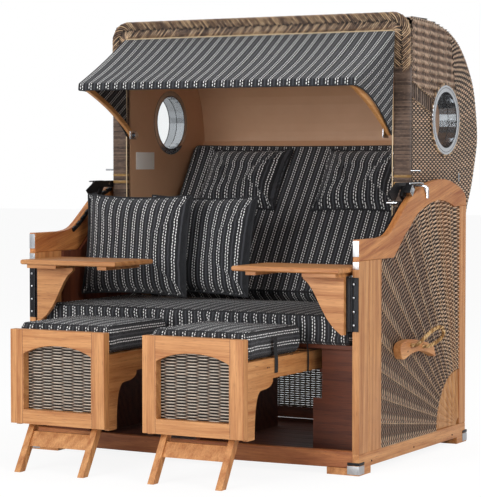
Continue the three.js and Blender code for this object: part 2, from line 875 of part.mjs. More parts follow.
function adjustRail() {
    const spine = splineThrough(
        adjustRailShares.map(([depth, rise]) => point(depth * baseDepth, armFrontHeight + rise * armTopRise)),
        18,
    );
    const curve = new THREE.SplineCurve(spine);
    const top = [];
    for (let notch = 0; notch < notchCount; notch += 1) {
        const tooth = [[0, 0], [1 - notchShare, 0], [1 - notchShare, notchDepth], [1, notchDepth]];
        for (const [share, drop] of tooth) {
            const along = (notch + share) / notchCount;
            const here = curve.getPointAt(Math.min(along, 1));
            const tangent = curve.getTangentAt(Math.min(along, 1));
            top.push(point(here.x + tangent.y * drop, here.y - tangent.x * drop));
        }
    }
    const under = offsetOutline(spine, -adjustRailHeight).reverse();
    return alongX([...top, ...under].reverse(), reach - adjustRailThickness, reach);
}

// Handle blocks with a rope loop through two holes

const handlePoint = ([along, up]) => point(
    handleFront + along * handleLength, handleBottom + up * handleHeight);
const handleBack = half - wickerRecess + seatGap;
const handleFace = handleBack + handleThickness;
const ropeHoles = ropeHoleShares.map(handlePoint);

function handleBlock() {
    const outline = handleOutlineShares.map(handlePoint);
    const closed = new THREE.SplineCurve([...outline, outline[0]]).getPoints(36).slice(0, -1);
    const holes = ropeHoles.map((centre) => circleHole(centre, ropeDiameter / 2 + ropeClearance, 12));
    return alongX(closed.reverse(), handleBack, handleFace, { bevel: edgeRound, holes });
}

// The loop leaves one hole, hangs out to the back and comes home through the other
function handleRope() {
    const [first, second] = ropeHoles;
    const at = (x, { x: y, y: z }) => new THREE.Vector3(x, y, z);
    const [out, home] = [at(handleFace + edgeRound, first), at(handleFace + edgeRound, second)];
    const route = ropeRoute.map((place) => new THREE.Vector3(...place));
    const path = new THREE.CurvePath();
    path.add(new THREE.LineCurve3(at(handleBack, first), out));
    path.add(new THREE.CatmullRomCurve3([out, ...route, home], false, 'centripetal'));
    path.add(new THREE.LineCurve3(home, at(handleBack, second)));
    return rodAlong(path, ropeDiameter / 2, 8, 30);
}

addPair('adjustment_rail', adjustRail(), blackSteel);
addPair('handle_block', handleBlock(), wood);
addPair('handle_rope', handleRope(), rope);

// Side tables: a board with battens and a curved bracket on a knuckled hinge

const tableUnder = tableTop - tableThickness;
const bracketTop = tableUnder - battenThickness;
const leafBottom = bracketTop - leafDrop - leafHeight;
const hingeAxis = point(innerFace - 2 * seatGap, -knuckleRadius - seatGap);

const knuckle = (from, to, radius) => new THREE.CylinderGeometry(radius, radius, to - from, 12)
    .rotateX(Math.PI / 2).translate(hingeAxis.x, hingeAxis.y, (from + to) / 2);

// Every second knuckle belongs to the same leaf, and the post's leaf holds the pin
function hingeKnuckles(first) {
    const pitch = leafHeight / knuckleCount;
    const knuckles = [];
    for (let index = first; index < knuckleCount; index += 2) {
        const low = leafBottom + pitch * index;
        knuckles.push(knuckle(low + hingeClearance, low + pitch - hingeClearance, knuckleRadius));
    }
    return knuckles;
}

const leafY = [-seatGap - leafThickness, -seatGap];
const leafZ = [leafBottom + hingeClearance, leafBottom + leafHeight - hingeClearance];

function leafSlots(first, x) {
    const pitch = leafHeight / knuckleCount;
    const slots = [];
    for (let index = first; index < knuckleCount; index += 2) {
        const low = leafBottom + pitch * index;
        slots.push(block(x, [-2 * knuckleRadius - overrun, overrun],
            [low - hingeClearance, low + pitch + hingeClearance]));
    }
    return slots;
}

function postLeaf() {
    const { x } = hingeAxis;
    const plate = block([x, half - edgeRound], leafY, leafZ);
    const slotted = cut(plate, ...leafSlots(1, [x - knuckleRadius, x + knuckleRadius + hingeClearance]));
    const pin = knuckle(...leafZ, hingePinRadius);
    return join(slotted, ...hingeKnuckles(0), pin);
}

function tableLeaf() {
    const { x } = hingeAxis;
    const plate = block([x - knuckleRadius - 2 * leafWidth, x], leafY, leafZ);
    const slotted = cut(plate, ...leafSlots(0, [x - knuckleRadius - hingeClearance, x + knuckleRadius]));
    const bore = knuckle(
        leafBottom - overrun, leafBottom + leafHeight + overrun, hingePinRadius + hingeClearance);
    return cut(join(slotted, ...hingeKnuckles(1)), bore);
}

const bracketOuter = hingeAxis.x - knuckleRadius - leafShown;

function table() {
    const outer = innerFace - knuckleRadius;
    const board = alongZ(rectangle(outer - tableLength, outer, -tableFront, tableDepth - tableFront),
        tableUnder, tableTop, { bevel: tableRound });
    const battenY = [battenMargin - tableFront, tableDepth - tableFront - battenMargin];
    const battenZ = [bracketTop, tableUnder + overrun];
    const innerLeft = outer - tableLength + innerBattenOffset;
    const innerBatten = block([innerLeft, innerLeft + innerBattenWidth], battenY, battenZ);
    const outerBatten = block([bracketOuter - outerBattenWidth, bracketOuter], battenY, battenZ);
    const [low, left] = [bracketTop - bracketHeight, bracketOuter - bracketTopLength];
    const bracket = new THREE.Shape(
        [point(left, bracketTop + overrun), point(left, bracketTop - bracketTip)]);
    const bend = ([across, down]) => [left + bracketTopLength * across, bracketTop - bracketHeight * down];
    bracket.bezierCurveTo(
        ...bend(bracketUpperShares), ...bend(bracketLowerShares), bracketOuter - bracketTip, low);
    bracket.lineTo(bracketOuter, low);
    bracket.lineTo(bracketOuter, bracketTop + overrun);
    const bracketBack = leafY[0] - seatGap;
    return join(board, innerBatten, outerBatten,
        alongY(bracket, bracketBack - bracketThickness, bracketBack));
}

addPair('table', table(), wood);
addPair('table_leaf', tableLeaf(), blackSteel);
addPair('table_post_leaf', postLeaf(), blackSteel);

// Hood: wicker shell

const hoodWidth = 2 * (innerFace - hoodSideClearance);
const hoodHalf = hoodWidth / 2;
const hoodShare = ([depth, height]) => point(
    hoodFront + depth * hoodDepth, pivotHeight + height * (hoodHeight - pivotHeight));
const hoodBodyFront = hoodFront + hoodEdgeDepth + seatGap;
const hoodCurve = splineThrough(hoodOutlineShares.map(hoodShare), 30);
const roofFront = point(hoodBodyFront, hoodCurve[0].y + edgeRound);
const hoodOutline = [roofFront, ...hoodCurve];
const hoodSideInner = hoodHalf - hoodSideThickness;

// Lower end of a hood side: round the pivot, then up to the front edge
function pivotEnd(radius, steps = 8) {
    return Array.from({ length: steps + 1 }, (_, step) => {
        const angle = THREE.MathUtils.degToRad(-35 - 130 * step / steps);
        return point(pivot.x + radius * Math.cos(angle), pivot.y + radius * Math.sin(angle));
    });
}

const windowHeight = hoodHeight - windowDrop;
const windowDepth = hoodFront + windowReach;

function hoodSide() {
    const outline = [...hoodOutline, ...pivotEnd(pivotBossRadius), point(hoodBodyFront, hoodEdgeBottom)];
    const round = { bevel: hoodEdgeRound, bevelSegments: 2 };
    const panel = alongX(outline.reverse(), hoodSideInner, hoodHalf, round);
    const opening = rodAlongX(
        windowRadius, hoodSideInner - overrun, hoodHalf + overrun, windowDepth, windowHeight, roundSteps);
    const stub = rodAlongX(
        pivotRadius, hoodHalf - hoodEdgeRound, reach - overrun, pivotDepth, pivotHeight, roundSteps);
    return join(cut(panel, opening), stub);
}

// The hood's outline moved inward, its front end kept in the plane of the braided edge
function hoodInset(distance) {
    return offsetOutline(hoodOutline, -distance).map(({ x, y }) => point(Math.max(x, hoodBodyFront), y));
}

function hoodShell() {
    const inner = hoodInset(hoodShellThickness).reverse();
    const width = hoodSideInner - seatGap;
    return alongX([...hoodOutline, ...inner].reverse(), -width, width);
}

// Braided edge round the opening: an upturned U with round shoulders
function hoodEdge() {
    const outerHalf = hoodHalf + hoodEdgeProud;
    const innerHalf = outerHalf - hoodEdgeWidth;
    const shape = new THREE.Shape();
    shape.moveTo(outerHalf, hoodEdgeBottom);
    shape.lineTo(outerHalf, hoodHeight - hoodCornerRadius);
    const cornerTop = hoodHeight - hoodCornerRadius;
    shape.absarc(outerHalf - hoodCornerRadius, cornerTop, hoodCornerRadius, 0, Math.PI / 2);
    shape.lineTo(hoodCornerRadius - outerHalf, hoodHeight);
    shape.absarc(
        hoodCornerRadius - outerHalf, hoodHeight - hoodCornerRadius, hoodCornerRadius, Math.PI / 2, Math.PI);
    shape.lineTo(-outerHalf, hoodEdgeBottom);
    shape.lineTo(-innerHalf, hoodEdgeBottom);
    shape.lineTo(-innerHalf, hoodHeight - hoodEdgeTopWidth);
    shape.lineTo(innerHalf, hoodHeight - hoodEdgeTopWidth);
    shape.lineTo(innerHalf, hoodEdgeBottom);
    return alongY(shape, hoodFront, hoodFront + hoodEdgeDepth, { bevel: hoodEdgeSoftness });
}

// Lining: two padded sides, the roof and back, and the backrest that leans the cushion
const liningCurve = hoodInset(hoodShellThickness + seatGap + roofLiningThickness);
const backrestTopHeight = hoodShare([0, backrestTopShare]).y;
const backrestTop = point(rearmostAt(liningCurve, backrestTopHeight), backrestTopHeight);
const backrestFoot = point(
    seatCushionFront + seatCushionDepth + backrestBottomGap, deckTop + backrestBottomRise);
const backrestLine = backrestTop.clone().sub(backrestFoot);
const backrestAngle = Math.atan2(backrestLine.y, backrestLine.x);

function hoodLining() {
    const outerCurve = hoodInset(hoodShellThickness + seatGap);
    const behind = point(
        backrestFoot.x + backrestThickness * Math.sin(backrestAngle),
        backrestFoot.y - backrestThickness * Math.cos(backrestAngle));
    const band = [
        ...outerCurve.filter(({ y }) => y > backrestTopHeight - backrestThickness),
        behind, backrestFoot, backrestTop,
        ...liningCurve.filter(({ y }) => y > backrestTopHeight).reverse(),
    ];
    const width = hoodSideInner - seatGap;
    const sideOutline = [
        ...outerCurve, ...pivotEnd(pivotBossRadius - backrestThickness),
        point(hoodBodyFront, hoodEdgeBottom),
    ];
    const side = alongX(sideOutline.reverse(), width - liningThickness, width);
    const opening = rodAlongX(windowRadius, -hoodHalf, hoodHalf, windowDepth, windowHeight, roundSteps);
    return cut(join(alongX(band.reverse(), -width, width), side, mirrored(side)), opening);
}

// Stainless ring: a tube through the wall with a broad flange outside and a narrow one inside
const liningFace = hoodSideInner - seatGap - liningThickness;

function windowRing() {
    const tube = windowRadius - seatGap;
    const [inside, outside] = [liningFace - seatGap, hoodHalf + seatGap];
    const rim = (radius, along) => point(radius, along);
    const profile = [
        rim(tube - windowTubeThickness, inside - windowFlangeThickness / 2),
        rim(tube + windowInnerFlange, inside - windowFlangeThickness / 2),
        rim(tube + windowInnerFlange, inside),
        rim(tube, inside), rim(tube, outside), rim(windowRadius + windowFlange, outside),
        rim(windowRadius + windowFlange - windowFlangeThickness, outside + windowFlangeThickness),
        rim(tube - windowTubeThickness, outside + windowFlangeThickness),
        rim(tube - windowTubeThickness, inside - windowFlangeThickness / 2),
    ];
    return outward(merged(new THREE.LatheGeometry(profile, roundSteps)
        .rotateZ(-Math.PI / 2).translate(0, windowDepth, windowHeight)));
}

function windowPane() {
    const middle = (liningFace + hoodHalf) / 2;
    return rodAlongX(windowRadius - seatGap - windowTubeThickness - seatGap,
        middle - paneThickness / 2, middle + paneThickness / 2, windowDepth, windowHeight, roundSteps);
}

addPair('hood_side', hoodSide(), wicker);
add('hood_shell', hoodShell(), wicker);
add('hood_edge', hoodEdge(), wicker);
add('hood_lining', hoodLining(), leatherette);
addPair('window_ring', windowRing(), steel);
addPair('window_pane', windowPane(), glazing);

// Hood: cushions, placed on the backrest plane

const backCushionWidth = 2 * (liningFace - backCushionMargin);
const backCushionLength = backrestFoot.distanceTo(backrestTop) - backCushionLift - backCushionTopGap;
const backCushionForm = {
    width: backCushionWidth, depth: backCushionLength, height: backCushionThickness, inner: [7, 5, 1],
};
const backCushion = add('back_cushion', boxCushion(backCushionForm), cloth);
const backSeat = new THREE.Group();
backSeat.position.set(0, backrestFoot.x, backrestFoot.y);
backSeat.rotation.x = backrestAngle;
chair.add(backSeat);
backSeat.add(backCushion);
backCushion.position.set(0, backCushionLift + backCushionLength / 2, seatGap);

for (const { name, sign } of sides) {
    const head = add(`head_pillow_${name}`, pillow({
        width: headPillowWidth, height: headPillowHeight, thickness: headPillowThickness,
        seam: pillowSeam, drawIn: headPillowDrawIn, backShare: headPillowBackShare, steps: 8,
    }), cloth);
    backSeat.add(head);
    const up = backCushionLift + backCushionLength - headPillowHeight / 2 - headPillowDrop;
    head.position.set(sign * headPillowOffset, up, 0);
    restOn(head, backCushionForm, backCushion.position);
}

// Latches: a plate on the hood's edge with a knob, and a bent rod that turns in it

const latchX = hoodHalf + hoodEdgeProud + seatGap;
const latchRodDepth = hoodFront - latchRodSetback;
const latchRodHeight = heightAt(armTop, latchRodDepth) + latchRodLift;
const latchPlateTop = latchRodHeight + latchPlateRise;

function latchPlate() {
    const place = ([along, up]) => point(
        hoodFront + hoodEdgeDepth + (along - 1) * latchPlateReach,
        latchPlateTop + (up - 1) * latchPlateHeight,
    );
    const plate = alongX(latchPlateShares.map(place), latchX, latchX + latchPlateThickness, {
        holes: [circleHole(point(latchRodDepth, latchRodHeight), latchRodRadius + hingeClearance, 12)],
    });
    const knob = place(latchKnobShares);
    const shank = rodAlongX(latchKnobRadius, latchX - latchKnobLength, latchX + overrun, knob.x, knob.y);
    return join(plate, shank);
}

function latchHandle() {
    const start = new THREE.Vector3(latchX, latchRodDepth, latchRodHeight);
    const path = new THREE.CurvePath();
    const bendStart = new THREE.Vector3(half + latchRodReach, latchRodDepth, latchRodHeight);
    const corner = bendStart.clone().setX(bendStart.x + latchBend);
    const bendEnd = corner.clone().setZ(latchRodHeight - latchBend);
    const tip = bendEnd.clone().setZ(latchRodHeight - latchRodDrop);
    path.add(new THREE.LineCurve3(start, bendStart));
    path.add(new THREE.QuadraticBezierCurve3(bendStart, corner, bendEnd));
    path.add(new THREE.LineCurve3(bendEnd, tip));
    return rodAlong(path, latchRodRadius, 8, 13);
}

addPair('latch_plate', latchPlate(), blackSteel);
addPair('latch_handle', latchHandle(), steel);

// Awning: a U frame of two bowed arms and a front bar, and the cloth over it

const hoodOpeningHalf = hoodHalf + hoodEdgeProud - hoodEdgeWidth;
const awningArmOffset = hoodOpeningHalf - awningArmInset;
const awningPivotDepth = hoodFront + awningPivotSetback;
const awningPivotHeight = hoodHeight - awningPivotDrop;
const awningBarDepth = hoodFront - awningBarReach;
const awningBarHeight = hoodHeight - awningBarDrop;

function awningArm() {
    const start = point(awningPivotDepth, awningPivotHeight);
    const end = point(awningBarDepth, awningBarHeight);
    const line = end.clone().sub(start);
    const normal = point(line.y, -line.x).normalize();
    const spine = Array.from({ length: 11 }, (_, step) => {
        const share = step / 10;
        return start.clone().addScaledVector(line, share)
            .addScaledVector(normal, awningArmBow * Math.sin(Math.PI * share));
    });
    const outline = [
        ...offsetOutline(spine, awningArmHeight / 2),
        ...offsetOutline(spine, -awningArmHeight / 2).reverse(),
    ];
    const halfThick = awningArmThickness / 2;
    return alongX(outline, awningArmOffset - halfThick, awningArmOffset + halfThick, { bevel: edgeRound });
}

function awningFrame() {
    const arm = awningArm();
    const bar = rodAlongX(
        awningBarRadius, -awningArmOffset, awningArmOffset, awningBarDepth, awningBarHeight, 14);
    const pin = rodAlongX(
        awningPinRadius, awningArmOffset, hoodOpeningHalf - seatGap, awningPivotDepth, awningPivotHeight);
    return join(arm, mirrored(arm), bar, pin, mirrored(pin));
}

// Cloth: an upturned U across, from the hood's edge over the bar to a short valance in front of it
function awningCloth() {
    const { clamp, lerp } = THREE.MathUtils;
    const [rows, sideSteps, topSteps] = [8, 4, 2 * clothFoldCount + 4];
    const rear = hoodFront - seatGap;
    const front = awningBarDepth - awningBarRadius - seatGap;
    const barTop = awningBarHeight + awningBarRadius + seatGap;
    const valance = barTop - valanceDrop;
    const clothHalfWidth = hoodHalf - clothInset;
    const [clothTop, gussetLowest] = [hoodHeight - clothTopDrop, hoodHeight - gussetLowestDrop];
    return twoFaced(rows + 1, topSteps + 2 * sideSteps, (row, column, face) => {
        const inset = face === 0 ? clothThickness : 0;
        const across = clamp((column - sideSteps) / topSteps, 0, 1) * 2 - 1;
        const side = Math.max(0, sideSteps - column, column - sideSteps - topSteps) / sideSteps;
        const width = across * (clothHalfWidth - inset + side * gussetSpread);
        if (row > rows) {
            return [width, front - clothThickness + inset, valance];
        }
        const along = row / rows;
        const fold = clothFold * Math.cos(Math.PI * clothFoldCount * across) * (1 - side);
        const crest = lerp(clothTop, barTop + clothThickness, along);
        const top = crest + (fold - clothSag) * Math.sin(Math.PI * along) - inset;
        const hem = Math.min(lerp(gussetLowest, valance, 1 - (1 - along) ** gussetCurve), top - overrun);
        return [width, lerp(rear, front, along), lerp(top, hem, side)];
    });
}

add('awning_frame', awningFrame(), wood);
add('awning_cloth', awningCloth(), cloth);

// Footrests

const panelRear = panelThickness - panelFront;
const boxFront = panelRear + seatGap;
const footrestHalf = footrestWidth / 2;
const boxOuter = footrestHalf - footrestInset;
const legHingeDepth = panelFront - legHingeSetback;
const boxTongueBottom = legHingeHeight - boxTongueDrop;
const panelBottom = boxTongueBottom + panelLap;

function panelOpening(margin) {
    const side = footrestHalf - panelStileWidth + margin;
    const [low, high] = [panelOpeningBottom - margin, panelTop - panelTopRailWidth + margin];
    const path = new THREE.Shape();
    path.moveTo(-side, low);
    path.lineTo(side, low);
    path.lineTo(side, high);
    path.quadraticCurveTo(side * panelArchShare, high + panelArchRise, 0, high + panelArchRise);
    path.quadraticCurveTo(-side * panelArchShare, high + panelArchRise, -side, high);
    return path;
}

function footrestPanel() {
    return alongY(rectangle(-footrestHalf, footrestHalf, panelBottom, panelTop), -panelFront, panelRear, {
        holes: [new THREE.Path(panelOpening(0).getPoints(6))],
    });
}

function footrestWicker() {
    return alongY(panelOpening(panelWickerMargin), boxFront, boxFront + panelWickerThickness);
}

const boxBodyFront = boxFront + panelWickerThickness + seatGap;

// Sides with a curved gusset and a tongue behind the panel, tied by slats and an end board
function footrestBox() {
    const railLow = boxSideTop - boxRailHeight;
    const top = boxSideTop + slatThickness;
    const gussetRear = boxFront + boxGussetLength;
    const gussetLow = railLow - boxGussetDrop;
    const tongueRear = boxFront + boxTongueLength;
    const outline = new THREE.Shape();
    outline.moveTo(boxFront, boxTongueBottom);
    outline.lineTo(tongueRear, boxTongueBottom);
    outline.quadraticCurveTo(tongueRear, gussetLow, tongueRear + boxTongueLength, gussetLow);
    outline.quadraticCurveTo(
        gussetRear - boxTongueLength / 4, gussetLow, gussetRear, railLow - boxGussetDrop / 3);
    outline.lineTo(gussetRear, railLow);
    outline.lineTo(boxRear, railLow);
    outline.lineTo(boxRear, top);
    outline.lineTo(boxFront, top);
    const board = alongX(outline, boxOuter - boardThickness, boxOuter);
    const inner = boxOuter - boardThickness + overrun;
    const pitch = (boxRear - boxBodyFront - slatWidth) / (slatCount - 1);
    const slats = Array.from({ length: slatCount }, (_, index) => {
        const front = boxBodyFront + pitch * index;
        return block([-inner, inner], [front, front + slatWidth], [boxSideTop, boxSideTop + slatThickness]);
    });
    const end = block([-inner, inner], [boxRear - boardThickness, boxRear], [railLow, boxSideTop + overrun]);
    return join(board, mirrored(board), ...slats, end);
}

// Two leaning legs with flat toes, a cross board and the dowel they fold on
function legFrame() {
    const hinge = point(-legHingeDepth, legHingeHeight);
    const toe = point(-panelFront - legToeLead, 0);
    const down = toe.clone().sub(hinge).normalize();
    const side = point(-down.y, down.x).multiplyScalar(legThickness / 2);
    const spread = legThickness / 2 / -down.y;
    const cap = Array.from({ length: 7 }, (_, step) => {
        const angle = Math.atan2(side.y, side.x) + Math.PI * step / 6;
        const [along, up] = [Math.cos(angle), Math.sin(angle)].map((share) => share * legThickness / 2);
        return point(hinge.x + along, hinge.y + up);
    });
    const outline = [point(toe.x + spread, 0), ...cap, point(toe.x - spread, 0)];
    const legX = footrestHalf - legInset;
    const leg = alongX(outline, legX - legWidth / 2, legX + legWidth / 2);
    const along = (height) => hinge.x + down.x * (height - hinge.y) / down.y;
    const [low, high] = [legBarCentre - legBarHeight / 2, legBarCentre + legBarHeight / 2];
    const thick = legBarThickness / 2;
    const bar = alongX([
        point(along(low) - thick, low), point(along(low) + thick, low),
        point(along(high) + thick, high), point(along(high) - thick, high),
    ], -legX, legX);
    const dowelEnd = boxOuter - boardThickness - seatGap;
    const dowel = rodAlongX(legDowelRadius, -dowelEnd, dowelEnd, hinge.x, hinge.y);
    return join(leg, mirrored(leg), bar, dowel);
}

const footCushionDepth = footCushionRear - boxBodyFront;

for (const { name, sign } of sides) {
    const footrest = new THREE.Group();
    footrest.position.x = sign * footrestOffset;
    chair.add(footrest);
    footrest.add(add(`footrest_panel_${name}`, footrestPanel(), wood));
    footrest.add(add(`footrest_wicker_${name}`, footrestWicker(), wicker));
    footrest.add(add(`footrest_box_${name}`, footrestBox(), wood));
    footrest.add(add(`footrest_legs_${name}`, legFrame(), wood));
    const cushion = add(`footrest_cushion_${name}`, boxCushion({
        width: footrestWidth - 2 * footCushionMargin, depth: footCushionDepth, height: footCushionHeight,
        round: footCushionRound, inner: [4, 4, 1],
    }), cloth);
    cushion.position.set(0, (boxBodyFront + footCushionRear) / 2, boxSideTop + slatThickness + seatGap);
    footrest.add(cushion);
}

// The origin lies on the ground under the middle of the whole chair
const bounds = new THREE.Box3().setFromObject(chair);
chair.position.y = -(bounds.min.y + bounds.max.y) / 2;
chair.updateMatrixWorld(true);

export default chair;
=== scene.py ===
"""Looks of a two-seat hooded beach chair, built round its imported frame.

Metres, +X right as seen from the front, +Y to the back, +Z up. The new pieces are worked out with
depths counted from the front of the posts, and `publish` moves them into the frame of the model.
"""
from __future__ import annotations

import json
import logging
import math
from collections.abc import Callable
from dataclasses import dataclass, field
from enum import Enum

import bpy
import numpy as np
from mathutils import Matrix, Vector

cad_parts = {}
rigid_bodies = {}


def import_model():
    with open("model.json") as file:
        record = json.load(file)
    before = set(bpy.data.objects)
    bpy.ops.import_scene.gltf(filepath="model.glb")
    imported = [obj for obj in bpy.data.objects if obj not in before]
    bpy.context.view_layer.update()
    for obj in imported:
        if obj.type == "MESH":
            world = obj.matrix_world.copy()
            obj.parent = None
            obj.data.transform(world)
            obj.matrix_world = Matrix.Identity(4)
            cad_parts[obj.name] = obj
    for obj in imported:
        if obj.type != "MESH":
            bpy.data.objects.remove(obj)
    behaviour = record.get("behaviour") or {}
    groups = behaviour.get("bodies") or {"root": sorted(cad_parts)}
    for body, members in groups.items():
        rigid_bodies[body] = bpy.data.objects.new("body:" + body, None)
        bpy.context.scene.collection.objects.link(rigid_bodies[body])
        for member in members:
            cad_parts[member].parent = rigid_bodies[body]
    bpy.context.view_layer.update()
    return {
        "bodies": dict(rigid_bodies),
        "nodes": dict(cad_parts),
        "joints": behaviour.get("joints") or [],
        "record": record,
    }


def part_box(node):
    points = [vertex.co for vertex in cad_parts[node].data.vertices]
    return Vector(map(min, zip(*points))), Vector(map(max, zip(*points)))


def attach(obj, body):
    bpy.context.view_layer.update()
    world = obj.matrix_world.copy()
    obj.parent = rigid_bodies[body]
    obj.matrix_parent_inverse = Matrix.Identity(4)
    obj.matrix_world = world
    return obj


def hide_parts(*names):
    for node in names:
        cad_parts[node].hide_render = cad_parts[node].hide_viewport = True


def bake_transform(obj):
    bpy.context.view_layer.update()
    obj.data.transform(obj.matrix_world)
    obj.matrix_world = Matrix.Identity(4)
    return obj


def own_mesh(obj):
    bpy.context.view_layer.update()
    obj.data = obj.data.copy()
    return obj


LOG = logging.getLogger("beach_chair")
DEPTH_SHIFT = -0.3539329
RIGHT, LEFT = 1.0, -1.0
SIDES = (("right", RIGHT), ("left", LEFT))
Array = np.ndarray
Point = tuple[float, float, float]
Pair = tuple[float, float]
Material, Piece, Socket = bpy.types.Material, bpy.types.Object, bpy.types.NodeSocket


# Shapes

@dataclass
class Shape:
    """Faces of four corners over shared points, with a place in the pattern for every corner."""

    points: Array
    quads: Array
    corners: Array

    @staticmethod
    def sheet(points: Array, pattern: Array, wrap_rows: bool = False, wrap_columns: bool = False) -> Shape:
        """Joins a grid of points into quads; a wrapped grid closes on its first row or column.

        Args:
            points: Rows by columns by three.
            pattern: Pattern coordinates, with one more row or column than the points where they wrap.
            wrap_rows: Whether the last row joins the first.
            wrap_columns: Whether the last column joins the first.

        Returns:
            The shape.
        """
        rows, columns = points.shape[:2]
        down = np.arange(rows - (not wrap_rows))[:, None]
        over = np.arange(columns - (not wrap_columns))[None, :]
        steps = ((0, 0), (0, 1), (1, 1), (1, 0))
        quads = [((down + d) % rows) * columns + (over + o) % columns for d, o in steps]
        corners = [pattern[down + d, over + o] for d, o in steps]
        return Shape(points.reshape(-1, 3), np.stack(quads, -1).reshape(-1, 4),
                     np.stack(corners, -2).reshape(-1, 4, 2))

    @staticmethod
    def join(shapes: list[Shape]) -> Shape:
        """Puts several shapes into one."""
        starts = np.cumsum([0] + [len(s.points) for s in shapes[:-1]])
        return Shape(np.concatenate([s.points for s in shapes]),
                     np.concatenate([s.quads + n for s, n in zip(shapes, starts)]),
                     np.concatenate([s.corners for s in shapes]))

    def kept(self, mask: Array) -> Shape:
        """Keeps the faces that a mask names, and the points that they use."""
        quads = self.quads[mask]
        used, index = np.unique(quads, return_inverse=True)
        return Shape(self.points[used], index.reshape(-1, 4), self.corners[mask])

    def centres(self) -> Array:
        """Middle point of every face."""
        return self.points[self.quads].mean(1)

    def turned(self) -> Shape:
        """Faces the other way."""
        return Shape(self.points, self.quads[:, ::-1], self.corners[:, ::-1])

    def mirrored(self) -> Shape:
        """Left-hand twin, with its faces still outwards."""
        return Shape(self.points * np.array([-1.0, 1.0, 1.0]), self.quads, self.corners).turned()

    def moved(self, offset: Point) -> Shape:
        """Shifts every point."""
        return Shape(self.points + np.array(offset), self.quads, self.corners)

    def on_side(self, sign: float) -> Shape:
        """The shape itself on the right, its twin on the left."""
        return self if sign > 0 else self.mirrored()


def lattice(rows: Array, columns: Array) -> Array:
    """Pattern grid with the rows' values first and the columns' values second."""
    return np.stack(np.meshgrid(rows, columns, indexing="ij"), -1)


def unit(vectors: Array) -> Array:
    """Vectors divided by their lengths."""
    return vectors / np.maximum(np.linalg.norm(vectors, axis=-1, keepdims=True), 1e-12)


def turn_steps(count: int) -> Array:
    """Angles of one whole turn, at even steps."""
    return np.linspace(0, 2 * np.pi, count, endpoint=False)


def circle(x: float, middle: Array, radius: float, count: int) -> Array:
    """Ring of points that faces sideways: middle + radius x (cos a, sin a), in depth and height."""
    angle = turn_steps(count)
    y, z = middle[0] + radius * np.cos(angle), middle[1] + radius * np.sin(angle)
    return np.stack([0 * angle + x, y, z], -1)


def smooth_path(points: Array, spacing: float) -> Array:
    """Catmull-Rom curve through points, at even steps of its own length.

    Args:
        points: The points that the curve passes.
        spacing: Distance from step to step.

    Returns:
        Points along the curve.
    """
    p = np.asarray(points, float)
    q = np.concatenate([2 * p[:1] - p[1:2], p, 2 * p[-1:] - p[-2:-1]])
    t = np.linspace(0, 1, 12, endpoint=False)[None, :, None]
    a, b, c, d = (q[i:len(q) - 3 + i, None] for i in range(4))
    square, cube = (2 * a - 5 * b + 4 * c - d) * t ** 2, (3 * b - a - 3 * c + d) * t ** 3
    fine = 0.5 * (2 * b + (c - a) * t + square + cube)
    return even_path(np.concatenate([fine.reshape(-1, p.shape[1]), q[-2:-1]]), spacing)


def even_path(points: Array, spacing: float) -> Array:
    """Points at even steps along straight stretches."""
    gone = run_of(points)
    at = np.linspace(0, gone[-1], max(2, round(gone[-1] / spacing) + 1))
    return np.stack([np.interp(at, gone, points[:, k]) for k in range(points.shape[1])], -1)


def run_of(path: Array) -> Array:
    """Length gone at each point of a path."""
    return np.concatenate([[0], np.cumsum(np.linalg.norm(np.diff(path, axis=0), axis=1))])


def path_frames(path: Array, up: Point, closed: bool = False) -> tuple[Array, Array]:
    """Two directions across a path: one square to the tangent and the given up, one square to both."""
    if closed:
        tangent = unit(np.roll(path, -1, 0) - np.roll(path, 1, 0))
    else:
        tangent = unit(np.gradient(path, axis=0))
    side = unit(np.cross(tangent, np.array(up, float)))
    return side, np.cross(side, tangent)


def tube(path: Array, radius: float | Array, sides: int = 8, up: Point = (0, 0, 1),
         closed: bool = False, flat: float = 1.0, lobes: int = 0, depth: float = 0.0,
         lay: float = 1.0) -> Shape:
    """Round bar along a path: path + radius x (cos a x side + flat x sin a x normal).

    With lobes, the radius swells and shrinks with cos(lobes x a - turn), where the turn grows with the
    length gone, which makes the strands of a twisted rope.

    Args:
        path: Centre line.
        radius: One radius, or one for each point.
        sides: Points round the bar.
        up: Direction that the section leans on.
        closed: Whether the bar closes on itself.
        flat: Height of the section as a share of its width.
        lobes: Strands of a rope.
        depth: Depth between the strands, as a share of the radius.
        lay: Length of one turn of the strands.

    Returns:
        The bar, closed at its ends with two small caps.
    """
    side, normal = path_frames(path, up, closed)
    gone = run_of(path)
    angle = turn_steps(sides)
    size = np.broadcast_to(np.asarray(radius, float), (len(path),))[:, None]
    if lobes:
        turn = lobes * (angle[None] - 2 * np.pi * gone[:, None] / lay)
        size = size * (1 - depth * (0.5 - 0.5 * np.cos(turn)))
    c, s = np.cos(angle)[None, :, None], np.sin(angle)[None, :, None]
    ring = c * side[:, None] + flat * s * normal[:, None]
    points = path[:, None] + size[..., None] * ring
    round_it = np.linspace(0, 1, sides + 1)
    rows = np.append(gone, gone[-1] + gone[1]) if closed else np.concatenate([[0], gone, gone[-1:]])
    pattern = lattice(rows, round_it)
    if lobes:
        pattern[..., 1] = lobes * (round_it[None] - rows[:, None] / lay) + 0.5
    if closed:
        return Shape.sheet(points, pattern, True, True)
    caps = [np.repeat(path[i][None, None], sides, 1) for i in (0, -1)]
    return Shape.sheet(np.concatenate([caps[0], points, caps[1]]), pattern, False, True)


